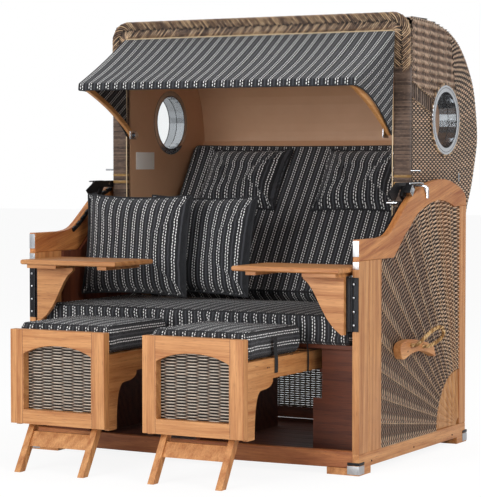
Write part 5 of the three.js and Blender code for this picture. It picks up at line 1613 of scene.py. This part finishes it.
@dataclass
class RoundWindows:
    """Twisted cane ring and fixings round each window; the steel ring and the pane are the model's own."""

    outlines: Outlines
    ring: float = 0.1365
    rope: float = 0.0058
    rope_turns: int = 24
    seal: float = 0.0016
    face: float = 0.6520

    def seal_and_shade_rings(self) -> Shape:
        """Thin black rings where the steel meets the cane, the pane and the lining: partly a seal, partly
        painted shade along the steel ring's edges.
        """
        low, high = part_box("window_pane_right")
        glass = (high.z - low.z) / 2
        low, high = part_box("window_ring_right")
        flange = (high.z - low.z) / 2
        spots = ((flange - 0.0006, self.face + 0.0004), ((flange + glass) / 2, high.x - 0.0010),
                 (glass + 0.0004, high.x - 0.0030),
                 (glass + 0.0004, (low.x + high.x) / 2), (glass + 0.0030, low.x + 0.0004))
        lines = [circle(x, self.outlines.window, radius, 72) for radius, x in spots]
        return Shape.join([tube(line, self.seal, 6, (1, 0, 0), closed=True) for line in lines])

    def build(self, nodes: dict[str, Piece]) -> None:
        """Both windows."""
        path = circle(self.face, self.outlines.window, self.ring, 150)
        rope = tube(path, self.rope, 12, (1, 0, 0), closed=True, lobes=2, depth=0.35,
                    lay=run_of(path)[-1] / self.rope_turns)
        cane, steel, pane, seal = (finish.material() for finish in (BRAID_CANE, POLISHED, PANE, SEAL_AND_EDGE_SHADE))
        # Black rings: partly a seal, partly painted shade along the steel ring's edges
        both_sides(("window_braid", rope, cane, "hood", "wicker"),
                   ("window_seals", self.seal_and_shade_rings(), seal, "hood", "black_steel"))
        for name, _ in SIDES:
            dress(nodes[f"window_ring_{name}"], steel)
            dress(nodes[f"window_pane_{name}"], pane)


# Soft parts

@dataclass
class Settling:
    """Cloth simulation that lets a closed cover puff and crease between its seams."""

    pressure: float = 4.0
    growth: float = 0.03
    cap: float = 0.012
    frames: int = 20

    def run(self, shape: Shape, held: Array) -> Shape:
        """Inflates a closed cover whose held points stay where they are.

        Points that meet are joined for the simulation. Each point then moves by the simulated offset,
        shortened to the cap, so faces and pattern stay as they were.

        Args:
            shape: The cover, lying flat.
            held: Whether each point lies on a seam.

        Returns:
            The settled cover.
        """
        joined, first, index = np.unique(np.round(shape.points, 5), axis=0, return_index=True,
                                         return_inverse=True)
        index = index.ravel()
        mesh = bpy.data.meshes.new("cover")
        mesh.from_pydata(joined.tolist(), [], index[shape.quads].tolist())
        cover = linked("cover", mesh)
        scene = bpy.context.scene
        cover.vertex_groups.new(name="seam").add(np.flatnonzero(held[first]).tolist(), 1.0, "REPLACE")
        cloth = cover.modifiers.new("cloth", "CLOTH")
        settings = cloth.settings
        settings.quality, settings.mass = 4, 0.3
        settings.use_pressure, settings.uniform_pressure_force = True, self.pressure
        settings.shrink_min = -self.growth
        settings.vertex_group_mass = "seam"
        settings.effector_weights.gravity = 0.0
        cloth.collision_settings.use_collision = False
        for frame in range(1, self.frames + 1):
            scene.frame_set(frame)
        settled = cover.evaluated_get(bpy.context.evaluated_depsgraph_get()).data
        moved = np.empty(len(joined) * 3, np.float32)
        settled.vertices.foreach_get("co", moved)
        offset = moved.reshape(-1, 3) - joined
        size = np.linalg.norm(offset, axis=1, keepdims=True)
        offset *= np.minimum(1.0, self.cap / np.maximum(size, 1e-9))
        bpy.data.objects.remove(cover)
        bpy.data.meshes.remove(mesh)
        scene.frame_set(1)
        most = 1000 * min(self.cap, size.max())
        LOG.info("settled a cover of %d points, at most %.1f mm", len(joined), most)
        return Shape(shape.points + offset[index], shape.quads, shape.corners)


@dataclass
class BoxCushion:
    """Crowned foam cushion with piped seams: a fine box with rounded edges whose sides draw in."""

    width: float
    depth: float
    height: float
    crown: float = 0.012
    draw_in: float = 0.009
    round_by: float = 0.030
    puff: float = 0.006
    dimple: float = 0.0022
    step: float = 0.012
    seam_shares: Pair = (0.10, 0.90)
    settling: Settling = field(default_factory=lambda: Settling(3.0, 0.025, 0.008))

    def lines(self, size: float) -> Array:
        """Grid lines over one side, closer at its rounded ends."""
        r = min(self.round_by, size / 2.02)
        bend = r * (1 - np.cos(np.linspace(0, np.pi / 2, 5)))
        middle = np.linspace(r, size - r, max(3, round((size - 2 * r) / self.step)))
        return np.concatenate([bend[:-1], middle, (size - bend[:-1])[::-1]])

    def form(self, points: Array) -> Array:
        """Draws in and crowns points of the rounded box, which is centred and stands on height 0.

        The sides move in by draw in x (1 - u^2)-like shares, the top rises by crown x (1 - u^2)(1 - v^2),
        and the four walls puff out by puff x sin(pi x height share).
        """
        u, v = 2 * points[:, 0] / self.width, 2 * points[:, 1] / self.depth
        across, along = 1 - u ** 2, 1 - v ** 2
        lift = np.clip(points[:, 2] / self.height, 0, 1)
        belly = self.puff * np.sin(np.pi * lift)
        x = points[:, 0] - np.sign(u) * (self.draw_in * along * u ** 2 - belly * np.abs(u) ** 6)
        y = points[:, 1] - np.sign(v) * (self.draw_in * across * v ** 2 - belly * np.abs(v) ** 6)
        waves = np.sin(9.0 * points[:, 0] + 2.0) * np.cos(11.0 * points[:, 1] + 1.0)
        dimple = self.dimple * waves * across * along
        z = points[:, 2] + (self.crown * across * along + dimple) * lift
        return np.stack([x, y, z], -1)

    def shape(self) -> Shape:
        """The closed cushion, its pattern in metres: across first, then along."""
        size = np.array([self.width, self.depth, self.height])
        box = box_faces(size, self.lines, True)
        r = min(self.round_by, size.min() / 2.02)
        core = np.clip(box.points, r, size - r)
        box.points = core + unit(box.points - core) * r - np.array([self.width / 2, self.depth / 2, 0])
        share = box.points[:, 2] / self.height
        x, y = np.abs(box.points[:, :2]).T
        rim = (x > self.width / 2 - r) | (y > self.depth / 2 - r)
        held = rim & (np.abs(share[:, None] - np.array(self.seam_shares)).min(1) < 0.05)
        box.points = self.form(box.points)
        return self.settling.run(box, held | (share < 0.02))

    def piping(self, share: float, radius: float = 0.0038) -> Shape:
        """Cord sewn into the seam round the cushion at a share of its height."""
        r = self.round_by
        w, d = self.width / 2 - r, self.depth / 2 - r
        angle = np.linspace(0, np.pi / 2, 8)
        quarter = np.stack([np.cos(angle), np.sin(angle)], -1)
        inset = self.round_by * 0.30 if abs(share - 0.5) > 0.2 else 0.0
        signs = ((1, 1), (-1, 1), (-1, -1), (1, -1))
        corners = [(np.array(s), quarter if s[0] * s[1] > 0 else quarter[::-1]) for s in signs]
        loop = np.concatenate([s * np.array([w, d]) + bend * s * (r - inset) for s, bend in corners])
        loop = even_path(np.concatenate([loop, loop[:1]]), 0.008)[:-1]
        points = np.concatenate([loop, np.full((len(loop), 1), share * self.height)], 1)
        return tube(self.form(points), radius, 8, (0, 0, 1), closed=True)


@dataclass
class Pillow:
    """Loose pillow: thick in the middle, thin at its seam, with pulled corners and folds by the seam."""

    width: float
    height: float
    thickness: float
    draw_in: float = 0.016
    back_share: float = 0.5
    steps: int = 64
    folds: float = 0.0026
    settling: Settling = field(default_factory=lambda: Settling(4.0, 0.05, 0.014))

    def face(self, u: Array, v: Array, side: float) -> Array:
        """One face: the puff is the root of (1 - u^4)(1 - v^4), and folds run in from the seam."""
        puff = np.sqrt(np.clip((1 - u ** 4) * (1 - v ** 4), 0, 1))
        rim = np.maximum(np.abs(u), np.abs(v))
        rays = np.sin(21 * np.arctan2(v, u) + 3 * side) + 0.6 * np.sin(37 * np.arctan2(v, u) + 1.0)
        fold = self.folds * rays * np.clip(rim - 0.45, 0, 1) * (1 - rim ** 8) * 2.2
        x = u * (self.width / 2 - self.draw_in * (1 - v ** 2))
        y = v * (self.height / 2 - self.draw_in * (1 - u ** 2))
        share = (1 - self.back_share) if side > 0 else self.back_share
        return np.stack([x, y, side * share * (0.003 + (self.thickness - 0.006) * puff) + fold * puff], -1)

    def shape(self) -> Shape:
        """Both faces, joined at the seam."""
        t = np.sin(np.pi * (np.linspace(0, 1, self.steps + 1) - 0.5))
        u, v = np.meshgrid(t, t, indexing="ij")
        pattern = np.stack([u * self.width / 2, v * self.height / 2], -1)
        top, bottom = (Shape.sheet(self.face(u, v, s), pattern) for s in (1.0, -1.0))
        pillow = Shape.join([top, bottom.turned()])
        rim = (np.maximum(np.abs(u), np.abs(v)) > 0.999).ravel()
        seam = pillow.points[:, 2] * np.tile(rim, 2)
        pillow.points[:, 2] -= seam
        return self.settling.run(pillow, np.tile(rim, 2))

    def piping(self, radius: float = 0.0036) -> Shape:
        """Cord round the seam."""
        t = np.linspace(-1, 1, 40)
        one = np.ones_like(t)
        loop = np.concatenate([np.stack([t, -one], -1)[:-1], np.stack([one, t], -1)[:-1],
                               np.stack([-t, one], -1)[:-1], np.stack([-one, -t], -1)[:-1]])
        path = self.face(loop[:, 0] * 0.999, loop[:, 1] * 0.999, 0.0)
        path[:, 2] = 0.0
        return tube(path, radius, 8, (0, 0, 1), closed=True)


def tilted(shape: Shape, angle: float, origin: Point) -> Shape:
    """Tips a shape about X and moves it to an origin."""
    c, s = math.cos(angle), math.sin(angle)
    tip = np.array([[1, 0, 0], [0, c, -s], [0, s, c]])
    return Shape(shape.points @ tip.T + np.array(origin), shape.quads, shape.corners)


@dataclass
class Cushions:
    """Seat and back cushions, two head pillows and two throw pillows."""

    backrest_foot: Pair = (0.698, 0.527)
    backrest_top: Pair = (1.1522, 1.1842)
    back_lift: float = 0.010
    back_short: float = 0.0733
    back_off: float = 0.0008
    back_width: float = 1.136
    back_height: float = 0.088
    seat_front: float = 0.0312
    seat_bottom: float = 0.4505
    seat_size: Point = (1.286, 0.588, 0.113)
    head_size: Point = (0.378, 0.296, 0.084)
    head_behind: float = 0.022
    head_down: float = 0.009
    throw_size: Point = (0.474, 0.392, 0.124)
    leans: tuple[tuple[str, float], ...] = (("front", 7.0), ("rear", 12.0))

    def piped(self, name: str, body: str, node: str | None, form: Shape, pipes: list[Shape],
              cloth: Material, edge: Material) -> Piece:
        piece = publish(name, form, cloth, body, (node,) if node else (), seam=70.0)
        for index, pipe in enumerate(pipes):
            publish(f"{name}_piping_{index + 1}", pipe, edge, body)
        return piece

    def build(self) -> None:
        """All of them."""
        cloth, edge = STRIPED.material(), EDGING.material()
        seat = BoxCushion(*self.seat_size, crown=0.013, draw_in=0.008, round_by=0.026)
        move = (0.0, self.seat_front + seat.depth / 2, self.seat_bottom)
        self.piped("seat_cushion_cloth", "base", "seat_cushion", seat.shape().moved(move),
                   [seat.piping(s).moved(move) for s in seat.seam_shares], cloth, edge)
        foot, top = np.array(self.backrest_foot), np.array(self.backrest_top)
        slope = top - foot
        angle = math.atan2(slope[1], slope[0])
        length = float(np.linalg.norm(slope)) - self.back_lift - self.back_short
        back = BoxCushion(self.back_width, length, self.back_height, crown=0.012, draw_in=0.007,
                          round_by=0.026)
        centre = foot + (self.back_lift + length / 2) * slope / np.linalg.norm(slope)
        centre += self.back_off * np.array([-math.sin(angle), math.cos(angle)])
        place = (0.0, float(centre[0]), float(centre[1]))
        self.piped("back_cushion_cloth", "hood", "back_cushion", tilted(back.shape(), angle, place),
                   [tilted(back.piping(s), angle, place) for s in back.seam_shares], cloth, edge)
        head = Pillow(*self.head_size, 0.008, 0.16)
        cover, pipe = head.shape(), head.piping()
        # Their seam lies behind the solid's middle, and they hang a little down the slope
        off = np.array([0.0, math.sin(angle), -math.cos(angle)]) * self.head_behind
        off -= np.array([0.0, math.cos(angle), math.sin(angle)]) * self.head_down
        for name, _ in SIDES:
            low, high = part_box(f"head_pillow_{name}")
            middle = np.array((low + high) / 2) - np.array([0.0, DEPTH_SHIFT, 0.0])
            spot = tuple(middle + off)
            self.piped(f"head_pillow_cloth_{name}", "hood", f"head_pillow_{name}",
                       tilted(cover, angle, spot), [tilted(pipe, angle, spot)], cloth, edge)
        throw = Pillow(*self.throw_size, 0.013, 0.5)
        cover, pipe = throw.shape(), throw.piping()
        for name, lean in self.leans:
            low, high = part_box(f"throw_pillow_{name}")
            spot = tuple(np.array((low + high) / 2) - np.array([0.0, DEPTH_SHIFT, 0.0]))
            tip = math.radians(90 - lean)
            self.piped(f"throw_pillow_cloth_{name}", "base", f"throw_pillow_{name}",
                       tilted(cover, tip, spot), [tilted(pipe, tip, spot)], cloth, edge)


@dataclass
class Awning:
    """Cloth over the awning's frame: a top that sags in soft folds, two side gussets and a short valance."""

    rear: float = 0.5215
    front: float = 0.1866
    bar_top: float = 1.3953
    top: float = 1.584
    half: float = 0.5905
    gusset_in: float = 0.010
    gusset_low: float = 1.199
    valance: float = 0.021
    sag: float = 0.010
    fold: float = 0.003
    folds: int = 6
    curve: float = 1.9
    thickness: float = 0.0016
    binding: float = 0.0026
    skirt_out: float = 0.0035
    rows: int = 45
    cut: Pair = (1.66, 0.43)
    cut_area: float = 0.60
    top_steps: int = 110
    side_steps: int = 16
    skirt_steps: int = 8

    def grid(self) -> tuple[Array, Array]:
        """Points of the outer face, row by row from the hood to the valance, and the cut in metres.

        Across, the cloth goes down one gusset, over the top and down the other. The top hangs between
        the hood and the bar by sag x sin(pi x share), with folds x cos(pi x folds x place) on it. On a
        gusset the pattern counts the distance below the crest, so its stripes follow the top's edge.
        """
        column = np.arange(self.top_steps + 2 * self.side_steps + 1)
        across = np.clip((column - self.side_steps) / self.top_steps, 0, 1) * 2 - 1
        side = np.maximum(0, np.maximum(self.side_steps - column, column - self.side_steps - self.top_steps))
        a, s = np.meshgrid(np.linspace(0, 1, self.rows), side / self.side_steps, indexing="ij")
        x = np.broadcast_to(across, a.shape) * (self.half - s * self.gusset_in)
        wave = self.fold * np.cos(np.pi * self.folds * across)[None] * (1 - s)
        crest = self.top + (self.bar_top + 0.004 - self.top) * a
        high = crest + (wave - self.sag) * np.sin(np.pi * a)
        valance = self.bar_top - self.valance
        rise = (valance - self.gusset_low) * (1 - (1 - a) ** self.curve)
        hem = np.minimum(self.gusset_low + rise, high - 0.001)
        y = self.rear + (self.front - self.rear) * a
        points = np.stack([x, y, high + (hem - high) * s], -1)
        drop = np.linspace(0, 1, self.skirt_steps + 1)[1:, None]
        front = points[-1][None]
        size = (self.skirt_steps, len(column))
        skirt = np.stack([np.broadcast_to(front[..., 0], size),
                          np.broadcast_to(front[..., 1] - self.skirt_out * np.sin(drop * np.pi / 2), size),
                          front[..., 2] - drop * np.clip(front[..., 2] - valance, 0, None)], -1)
        over = np.broadcast_to(across, a.shape) * self.half + np.sign(x) * (high - hem) * s
        over = np.concatenate([over, np.broadcast_to(over[-1:], size)])
        points = np.concatenate([points, skirt])
        steps = np.linalg.norm(np.diff(points, axis=0), axis=2)
        down = np.concatenate([np.zeros((1, len(column))), np.cumsum(steps, 0)])
        return points, np.stack([over, down], -1)

    def cloth(self) -> Shape:
        """Outer and inner face of the cloth."""
        outer, pattern = self.grid()
        du, dv = np.gradient(outer, axis=0), np.gradient(outer, axis=1)
        inner = outer - unit(np.cross(dv, du)) * self.thickness
        return Shape.join([Shape.sheet(outer, pattern).turned(), Shape.sheet(inner, pattern)])

    def hem(self) -> Shape:
        """Dark binding along the valance's lower edge and up both gussets."""
        points, _ = self.grid()
        sides = points[:-self.skirt_steps]
        path = np.concatenate([sides[:, 0], points[-1], sides[:, -1][::-1]])
        return tube(even_path(path, 0.012), self.binding, 8, (0, 0, 1))

    def build(self) -> None:
        """The cloth and its hem, on no body, with their transforms baked into their points."""
        sheet = publish("awning_sheet", self.cloth(), STRIPED.material(), "", ("awning_cloth",),
                        seam=60.0)
        binding = publish("awning_hem", self.hem(), EDGING.material(), "")
        for piece in (sheet, binding):
            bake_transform(piece)


@dataclass
class FootrestDressing:
    """Woven panel, cushion and straps of each footrest."""

    pitch: float = 0.0054
    stake: float = 0.0430
    bulge: float = 0.0030
    strap_widths: Pair = (0.024, 0.011)
    strap_places: Pair = (-0.200, 0.043)
    strap_feet: Pair = (0.372, 0.350)
    strap_gaps: tuple[float, ...] = (0.0022, 0.0030, 0.0026, 0.0050, 0.0046)
    shoulder_drop: float = 0.030
    pad_height: float = 0.104

    def build(self) -> None:
        """Both footrests."""
        cane, backing, cloth, edge, web = (FOOT_CANE.material(), SHADE_BACKING.material(), STRIPED.material(),
                                           EDGING.material(), WEBBING.material())
        for name, sign in SIDES:
            body = f"footrest_{name}"
            low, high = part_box(f"footrest_wicker_{name}")
            y, middle = low.y - DEPTH_SHIFT, (low.x + high.x) / 2
            shoulder, crown = high.z - self.shoulder_drop, high.z + 0.002
            arch = np.array([(low.x, low.z), (high.x, low.z), (high.x, shoulder), (middle, crown),
                             (low.x, shoulder)])
            weave = FlatWeave((low.x + 0.001, low.z + 0.001), (high.x - 0.001, high.z), self.pitch,
                              self.stake, self.bulge, outline=arch)
            publish(f"footrest_weave_{name}", weave.shape(y + 0.0032, -1.0), cane, body,
                    (f"footrest_wicker_{name}",))
            # Dark sheet behind the weave, as painted shade in its gaps
            back = rounded_box((low.x, y + 0.0070, low.z), (high.x, y + 0.0085, shoulder), 0.0007)
            publish(f"footrest_backing_{name}", back, backing, body)
            low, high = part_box(f"footrest_cushion_{name}")
            pad = BoxCushion(high.x - low.x - 0.004, high.y - low.y - 0.004, self.pad_height, crown=0.009,
                             draw_in=0.006, round_by=0.024)
            move = (middle, (low.y + high.y) / 2 - DEPTH_SHIFT, low.z + 0.0005)
            piece = publish(f"footrest_cushion_cloth_{name}", pad.shape().moved(move), cloth, body,
                            (f"footrest_cushion_{name}",), seam=70.0)
            pipes = Shape.join([pad.piping(s).moved(move) for s in pad.seam_shares])
            seam = publish(f"footrest_piping_{name}", pipes, edge, body)
            straps = publish(f"footrest_straps_{name}", self.straps(name, sign), web, body)
            for soft in (piece, seam, straps):
                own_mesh(soft)
            LOG.info("footrest %s dressed, straps %s", name, straps.name)

    def straps(self, name: str, sign: float) -> Shape:
        """Elastic bands that hold the cushion: up the outer side of the box to the cushion's edge."""
        low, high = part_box(f"footrest_box_{name}")
        cushion_low, cushion_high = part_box(f"footrest_cushion_{name}")
        outer = high.x if sign > 0 else low.x
        edge = cushion_high.x if sign > 0 else cushion_low.x
        bands = []
        for width, place, foot in zip(self.strap_widths, self.strap_places, self.strap_feet):
            # Up the board with a hand's slack, and over onto the cushion's side
            seam, (start, slack, over, side, end) = cushion_low.z, self.strap_gaps
            board = [(outer + sign * start, place, foot), (outer + sign * slack, place, foot + 0.030),
                     (outer + sign * over, place, seam - 0.004)]
            cushion = [(edge + sign * side, place, seam + 0.022), (edge + sign * end, place, seam + 0.070)]
            path = np.array(board + cushion)
            bands.append(tube(smooth_path(path, 0.006), width / 2, 10, (1, 0, 0), flat=0.10))
        return Shape.join(bands)


@dataclass
class RopeHandles:
    """Twisted rope loops in the carved blocks."""

    radius: float = 0.0078
    mouth: float = 0.0295
    first: Point = (0.6975, 0.3889, 0.4284)
    last: Point = (0.6975, 0.4977, 0.4167)
    route: Array = field(default_factory=lambda: np.array([
        (0.742, 0.393, 0.431), (0.752, 0.424, 0.449), (0.755, 0.490, 0.472), (0.755, 0.560, 0.484),
        (0.754, 0.604, 0.477), (0.754, 0.613, 0.458), (0.754, 0.590, 0.441), (0.754, 0.540, 0.429),
        (0.742, 0.502, 0.418)]))

    def build(self) -> None:
        """Both ropes, as cords that go back into the block."""
        first, last = np.array(self.first), np.array(self.last)
        mouth = np.array([self.mouth, 0, 0])
        line = smooth_path(np.concatenate([[first, first + mouth], self.route, [last + mouth, last]]), 0.0035)
        rope = tube(line, self.radius, 15, (1, 0, 0), lobes=3, depth=0.34, lay=0.046)
        material = SISAL.material()
        for name, sign in SIDES:
            piece = publish(f"rope_loop_{name}", rope.on_side(sign), material, "base",
                            (f"handle_rope_{name}",))


def pin(low: Point, length: float, radius: float, axis: str = "x", lip: float = 0.0008) -> Shape:
    """Round pin with small chamfers, from a point along an axis."""
    half = [(0, 0), (0, radius - lip), (lip, radius)]
    profile = half + [(length - along, out) for along, out in half[::-1]]
    return turned_bar(np.array(profile), axis, low, 16)


def screw(centre: Point, axis: str, outward: float, radius: float = 0.004) -> Shape:
    """Domed screw head with a hollow in its middle, standing off a face."""
    angle = np.linspace(0, np.pi / 2, 6)
    dome = np.stack([radius * 0.55 * np.sin(angle), radius * np.cos(angle)], -1)
    foot = np.array([(-0.001, 0), (-0.001, radius)])
    hollow = np.array([(0.50, 0.34), (0.22, 0.26), (0.22, 0)]) * radius
    rows = np.concatenate([foot, dome[:-2], hollow])
    shape = turned_bar(rows * np.array([outward, 1]), axis, centre, 14)
    return shape if outward > 0 else shape.turned()


@dataclass
class Fittings:
    """Screws, plates, pins and brackets, each on what carries it."""

    rail_face: float = 0.6955
    plate_sides: Pair = (0.6700, 0.6940)
    plate_depths: Pair = (-0.0002, -0.0022)
    plate_heights: tuple[Pair, Pair] = ((0.7240, 0.7500), (0.7680, 0.8240))
    rail_screws: tuple[float, ...] = (0.105, 0.477, 0.845)
    rail_screw_height: float = 0.042
    hinge_shares: tuple[float, ...] = (0.12, 0.37, 0.63, 0.88)
    bracket_heights: Pair = (0.004, 0.034)
    strip_heights: Pair = (0.036, 0.046)
    bracket_reach: Pair = (0.042, 0.045)
    arm_strap: tuple[Point, Point] = ((0.5530, 0.500, 1.188), (0.5560, 0.548, 1.222))
    arm_nut: Point = (0.5440, 0.535, 1.205)
    stop_place: Pair = (0.537, 1.066)
    rear_pin_place: Pair = (0.9930, 1.023)
    latch_tip: float = math.radians(52)
    latch_block: tuple[Point, float, Point] = ((0.026, 0.032, 0.028), 0.002, (0.6850, 0.452, 0.9930))
    latch_hook: tuple[Point, float, Point] = ((0.012, 0.048, 0.024), 0.003, (0.6620, 0.444, 0.9860))
    latch_lid: tuple[Point, float, Point] = ((0.026, 0.044, 0.006), 0.002, (0.6850, 0.438, 1.0030))
    latch_pin: Point = (0.6130, 0.410, 0.9480)
    box_screw_places: tuple[Pair, ...] = ((-0.262, 0.395), (-0.250, 0.395), (-0.085, 0.425), (-0.073, 0.425))
    rod_radius: float = 0.0028
    rod_places: tuple[Point, ...] = (
        (0.6985, 0.424, 1.0195), (0.6985, 0.460, 1.0205), (0.6985, 0.528, 1.0200), (0.6985, 0.552, 1.0100),
        (0.6985, 0.588, 0.9640))

    def post_plates(self) -> Shape:
        """Bright plates on the front of the post and of the arm rail."""
        (left, right), (back, front) = self.plate_sides, self.plate_depths
        return Shape.join([rounded_box((left, front, low), (right, back, high), 0.0009)
                           for low, high in self.plate_heights])

    def hinge_screws(self) -> Shape:
        """Screws down the front of the post's hinge leaf."""
        low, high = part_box("table_post_leaf_right")
        x, y = (low.x + high.x) / 2, low.y - DEPTH_SHIFT
        heights = low.z + (high.z - low.z) * np.array(self.hinge_shares)
        return Shape.join([screw((x, y, z), "y", -1.0, 0.0042) for z in heights])

    def side_screws(self) -> Shape:
        """Screws of the bottom rail and of the handle's block."""
        low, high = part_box("handle_block_right")
        y0, y1, z = low.y - DEPTH_SHIFT, high.y - DEPTH_SHIFT, (low.z + high.z) / 2
        low_z = self.rail_screw_height
        heads = [screw((self.rail_face, y, low_z), "x", 1.0, 0.0035) for y in self.rail_screws]
        heads += [screw((high.x, y0 + (y1 - y0) * share, z), "x", 1.0, 0.003) for share in (0.20, 0.80)]
        return Shape.join(heads)

    def foot_brackets(self) -> list[Shape]:
        """Steel angle round each lower corner, and the dark strip above it."""
        low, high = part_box("bottom_rail_right")
        y0, y1 = low.y - DEPTH_SHIFT, high.y - DEPTH_SHIFT
        steel, strip = [], []
        (side, across), x = self.bracket_reach, high.x
        for y, inward in ((y0, 1.0), (y1, -1.0)):
            for parts, (z0, z1), side_out, front_out, edge in (
                    (steel, self.bracket_heights, 0.0020, 0.0020, 0.0008),
                    (strip, self.strip_heights, 0.0024, 0.0022, 0.0009)):
                a, b = sorted((y - inward * 0.0016, y + inward * side))
                parts.append(rounded_box((x + 0.0003, a, z0), (x + side_out, b, z1), edge))
                a, b = sorted((y, y - inward * 0.0018))
                parts.append(rounded_box((x - across, a, z0), (x + front_out, b, z1), 0.0008))
        return [Shape.join(parts) for parts in (steel, strip)]

    def hood_pins(self) -> Shape:
        """Chrome stop on the side of the hood's edge, and a short upright pin by the arm's rear."""
        y, z = self.stop_place
        rear_y, rear_z = self.rear_pin_place
        upright = pin((0.6560, rear_y, rear_z), 0.032, 0.0030, "z")
        foot = pin((0.6480, rear_y, rear_z + 0.005), 0.008, 0.0028)
        return Shape.join([pin((0.6515, y, z), 0.040, 0.0034), upright, foot])

    def latch_parts(self) -> list[Shape]:
        """Bright block and cross pin of the latch, and the black hook behind them."""
        block, hook, lid = (
            tilted(rounded_box(-np.array(size) / 2, np.array(size) / 2, edge), self.latch_tip, place)
            for size, edge, place in (self.latch_block, self.latch_hook, self.latch_lid))
        x, y, z = self.latch_pin
        cross, collar = pin((x, y, z), 0.0420, 0.0068), pin((x + 0.0230, y, z), 0.0080, 0.0098)
        rod = tube(smooth_path(np.array(self.rod_places), 0.004), self.rod_radius, 10, (1, 0, 0))
        return [Shape.join([block, cross, collar, rod]), Shape.join([hook, lid])]

    def awning_pivots(self) -> Shape:
        """Round nut and strap where the awning's arm turns on the hood's edge."""
        strap = rounded_box(*self.arm_strap, 0.001)
        profile = np.array([(0, 0), (0, 0.011), (0.004, 0.011), (0.008, 0.007), (0.009, 0)])
        return Shape.join([strap, turned_bar(profile, "x", self.arm_nut, 18)])

    def box_screws(self, name: str, sign: float) -> Shape:
        """Two pairs of screws in the outer side of a footrest's box."""
        low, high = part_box(f"footrest_box_{name}")
        face = high.x if sign > 0 else low.x
        return Shape.join([screw((face, y, z), "x", sign, 0.0026) for y, z in self.box_screw_places])

    def build(self) -> None:
        """All fittings of both sides."""
        steel, satin, black = POLISHED.material(), SATIN.material(), BLACKENED.material()
        brackets, strips = self.foot_brackets()
        block, hook = self.latch_parts()
        both_sides(("post_plates", self.post_plates(), satin, "base", "steel"),
                   ("hinge_screws", self.hinge_screws(), satin, "base", "steel"),
                   ("side_screws", self.side_screws(), black, "base", "steel"),
                   ("foot_brackets", brackets, satin, "base", "steel"),
                   ("foot_strips", strips, black, "base", "black_steel"),
                   ("hood_stop", self.hood_pins(), steel, "hood", "steel"),
                   ("latch_block", block, steel, "base", "steel"),
                   ("latch_hook", hook, black, "base", "black_steel"),
                   ("awning_pivot", self.awning_pivots(), steel, "hood", "steel"))
        for name, sign in SIDES:
            publish(f"box_screws_{name}", self.box_screws(name, sign), black, f"footrest_{name}")


@dataclass
class LiningDetail:
    """Piped seam where the lining's side meets its roof and back, and a plain plate."""

    outlines: Outlines
    skin: float = 0.0042
    pipe: float = 0.0032
    wall: float = 0.5837
    seam_start: Pair = (0.556, 0.62)
    plate_low: Point = (-0.5836, 0.592, 1.067)
    plate_high: Point = (-0.5812, 0.733, 1.137)
    rivet_in: float = 0.007

    def build(self) -> None:
        """Seams on both sides and the plate on the left wall."""
        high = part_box("hood_lining")[1]
        crest = self.outlines.crest
        line = even_path(crest, 0.01)
        tangent = unit(np.gradient(line, axis=0))
        out = np.stack([-tangent[:, 1], tangent[:, 0]], -1)
        inner = line - out * (crest[:, 1].max() - high.z + self.skin + self.pipe * 0.4)
        inner = inner[(inner > np.array(self.seam_start)).all(1)]
        wall = self.wall - self.pipe * 0.4
        path = np.stack([np.full(len(inner), wall), inner[:, 0], inner[:, 1]], -1)
        seam = tube(path, self.pipe, 8, (1, 0, 0))
        both_sides(("lining_seam", seam, PIPING.material(), "hood", "leatherette"))
        plate = rounded_box(self.plate_low, self.plate_high, 0.001)
        publish("blank_plate", plate, BLANK_PLATE.material(), "hood")
        (_, y0, z0), (face, y1, z1), inset = self.plate_low, self.plate_high, self.rivet_in
        corners = [(y, z) for y in (y0 + inset, y1 - inset) for z in (z0 + inset, z1 - inset)]
        rivets = Shape.join([screw((face, y, z), "x", 1.0, 0.0018) for y, z in corners])
        publish("plate_rivets", rivets, SATIN.material(), "hood")


# The whole chair

def dress_metal(nodes: dict[str, Piece]) -> None:
    """Finishes of hinges, rails, plates and handles, and of the lining."""
    black, bright = BLACKENED.material(), POLISHED.material()
    for name, _ in SIDES:
        for stem in ("table_leaf", "table_post_leaf", "adjustment_rail", "latch_plate"):
            dress(nodes[f"{stem}_{name}"], black)
        dress(nodes[f"latch_handle_{name}"], bright)
    dress(nodes["hood_lining"], LINING.material())
    LOG.info("metal and lining dressed")


def main() -> None:
    """Loads the frame and builds every sub-assembly."""
    logging.basicConfig(level=logging.INFO, format="%(message)s")
    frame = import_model()
    nodes = frame["nodes"]
    outlines = Outlines.of(nodes)
    Studio().build()
    RopeHandles().build()
    Woodwork().build(nodes)
    dress_metal(nodes)
    PleatedSides(outlines).build()
    RearPanel().build()
    HoodWeave(outlines).build()
    HoodEdge().build()
    RoundWindows(outlines).build(nodes)
    LiningDetail(outlines).build()
    Cushions().build()
    Awning().build()
    FootrestDressing().build()
    Fittings().build()
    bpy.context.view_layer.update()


if __name__ == "__main__":
    main()
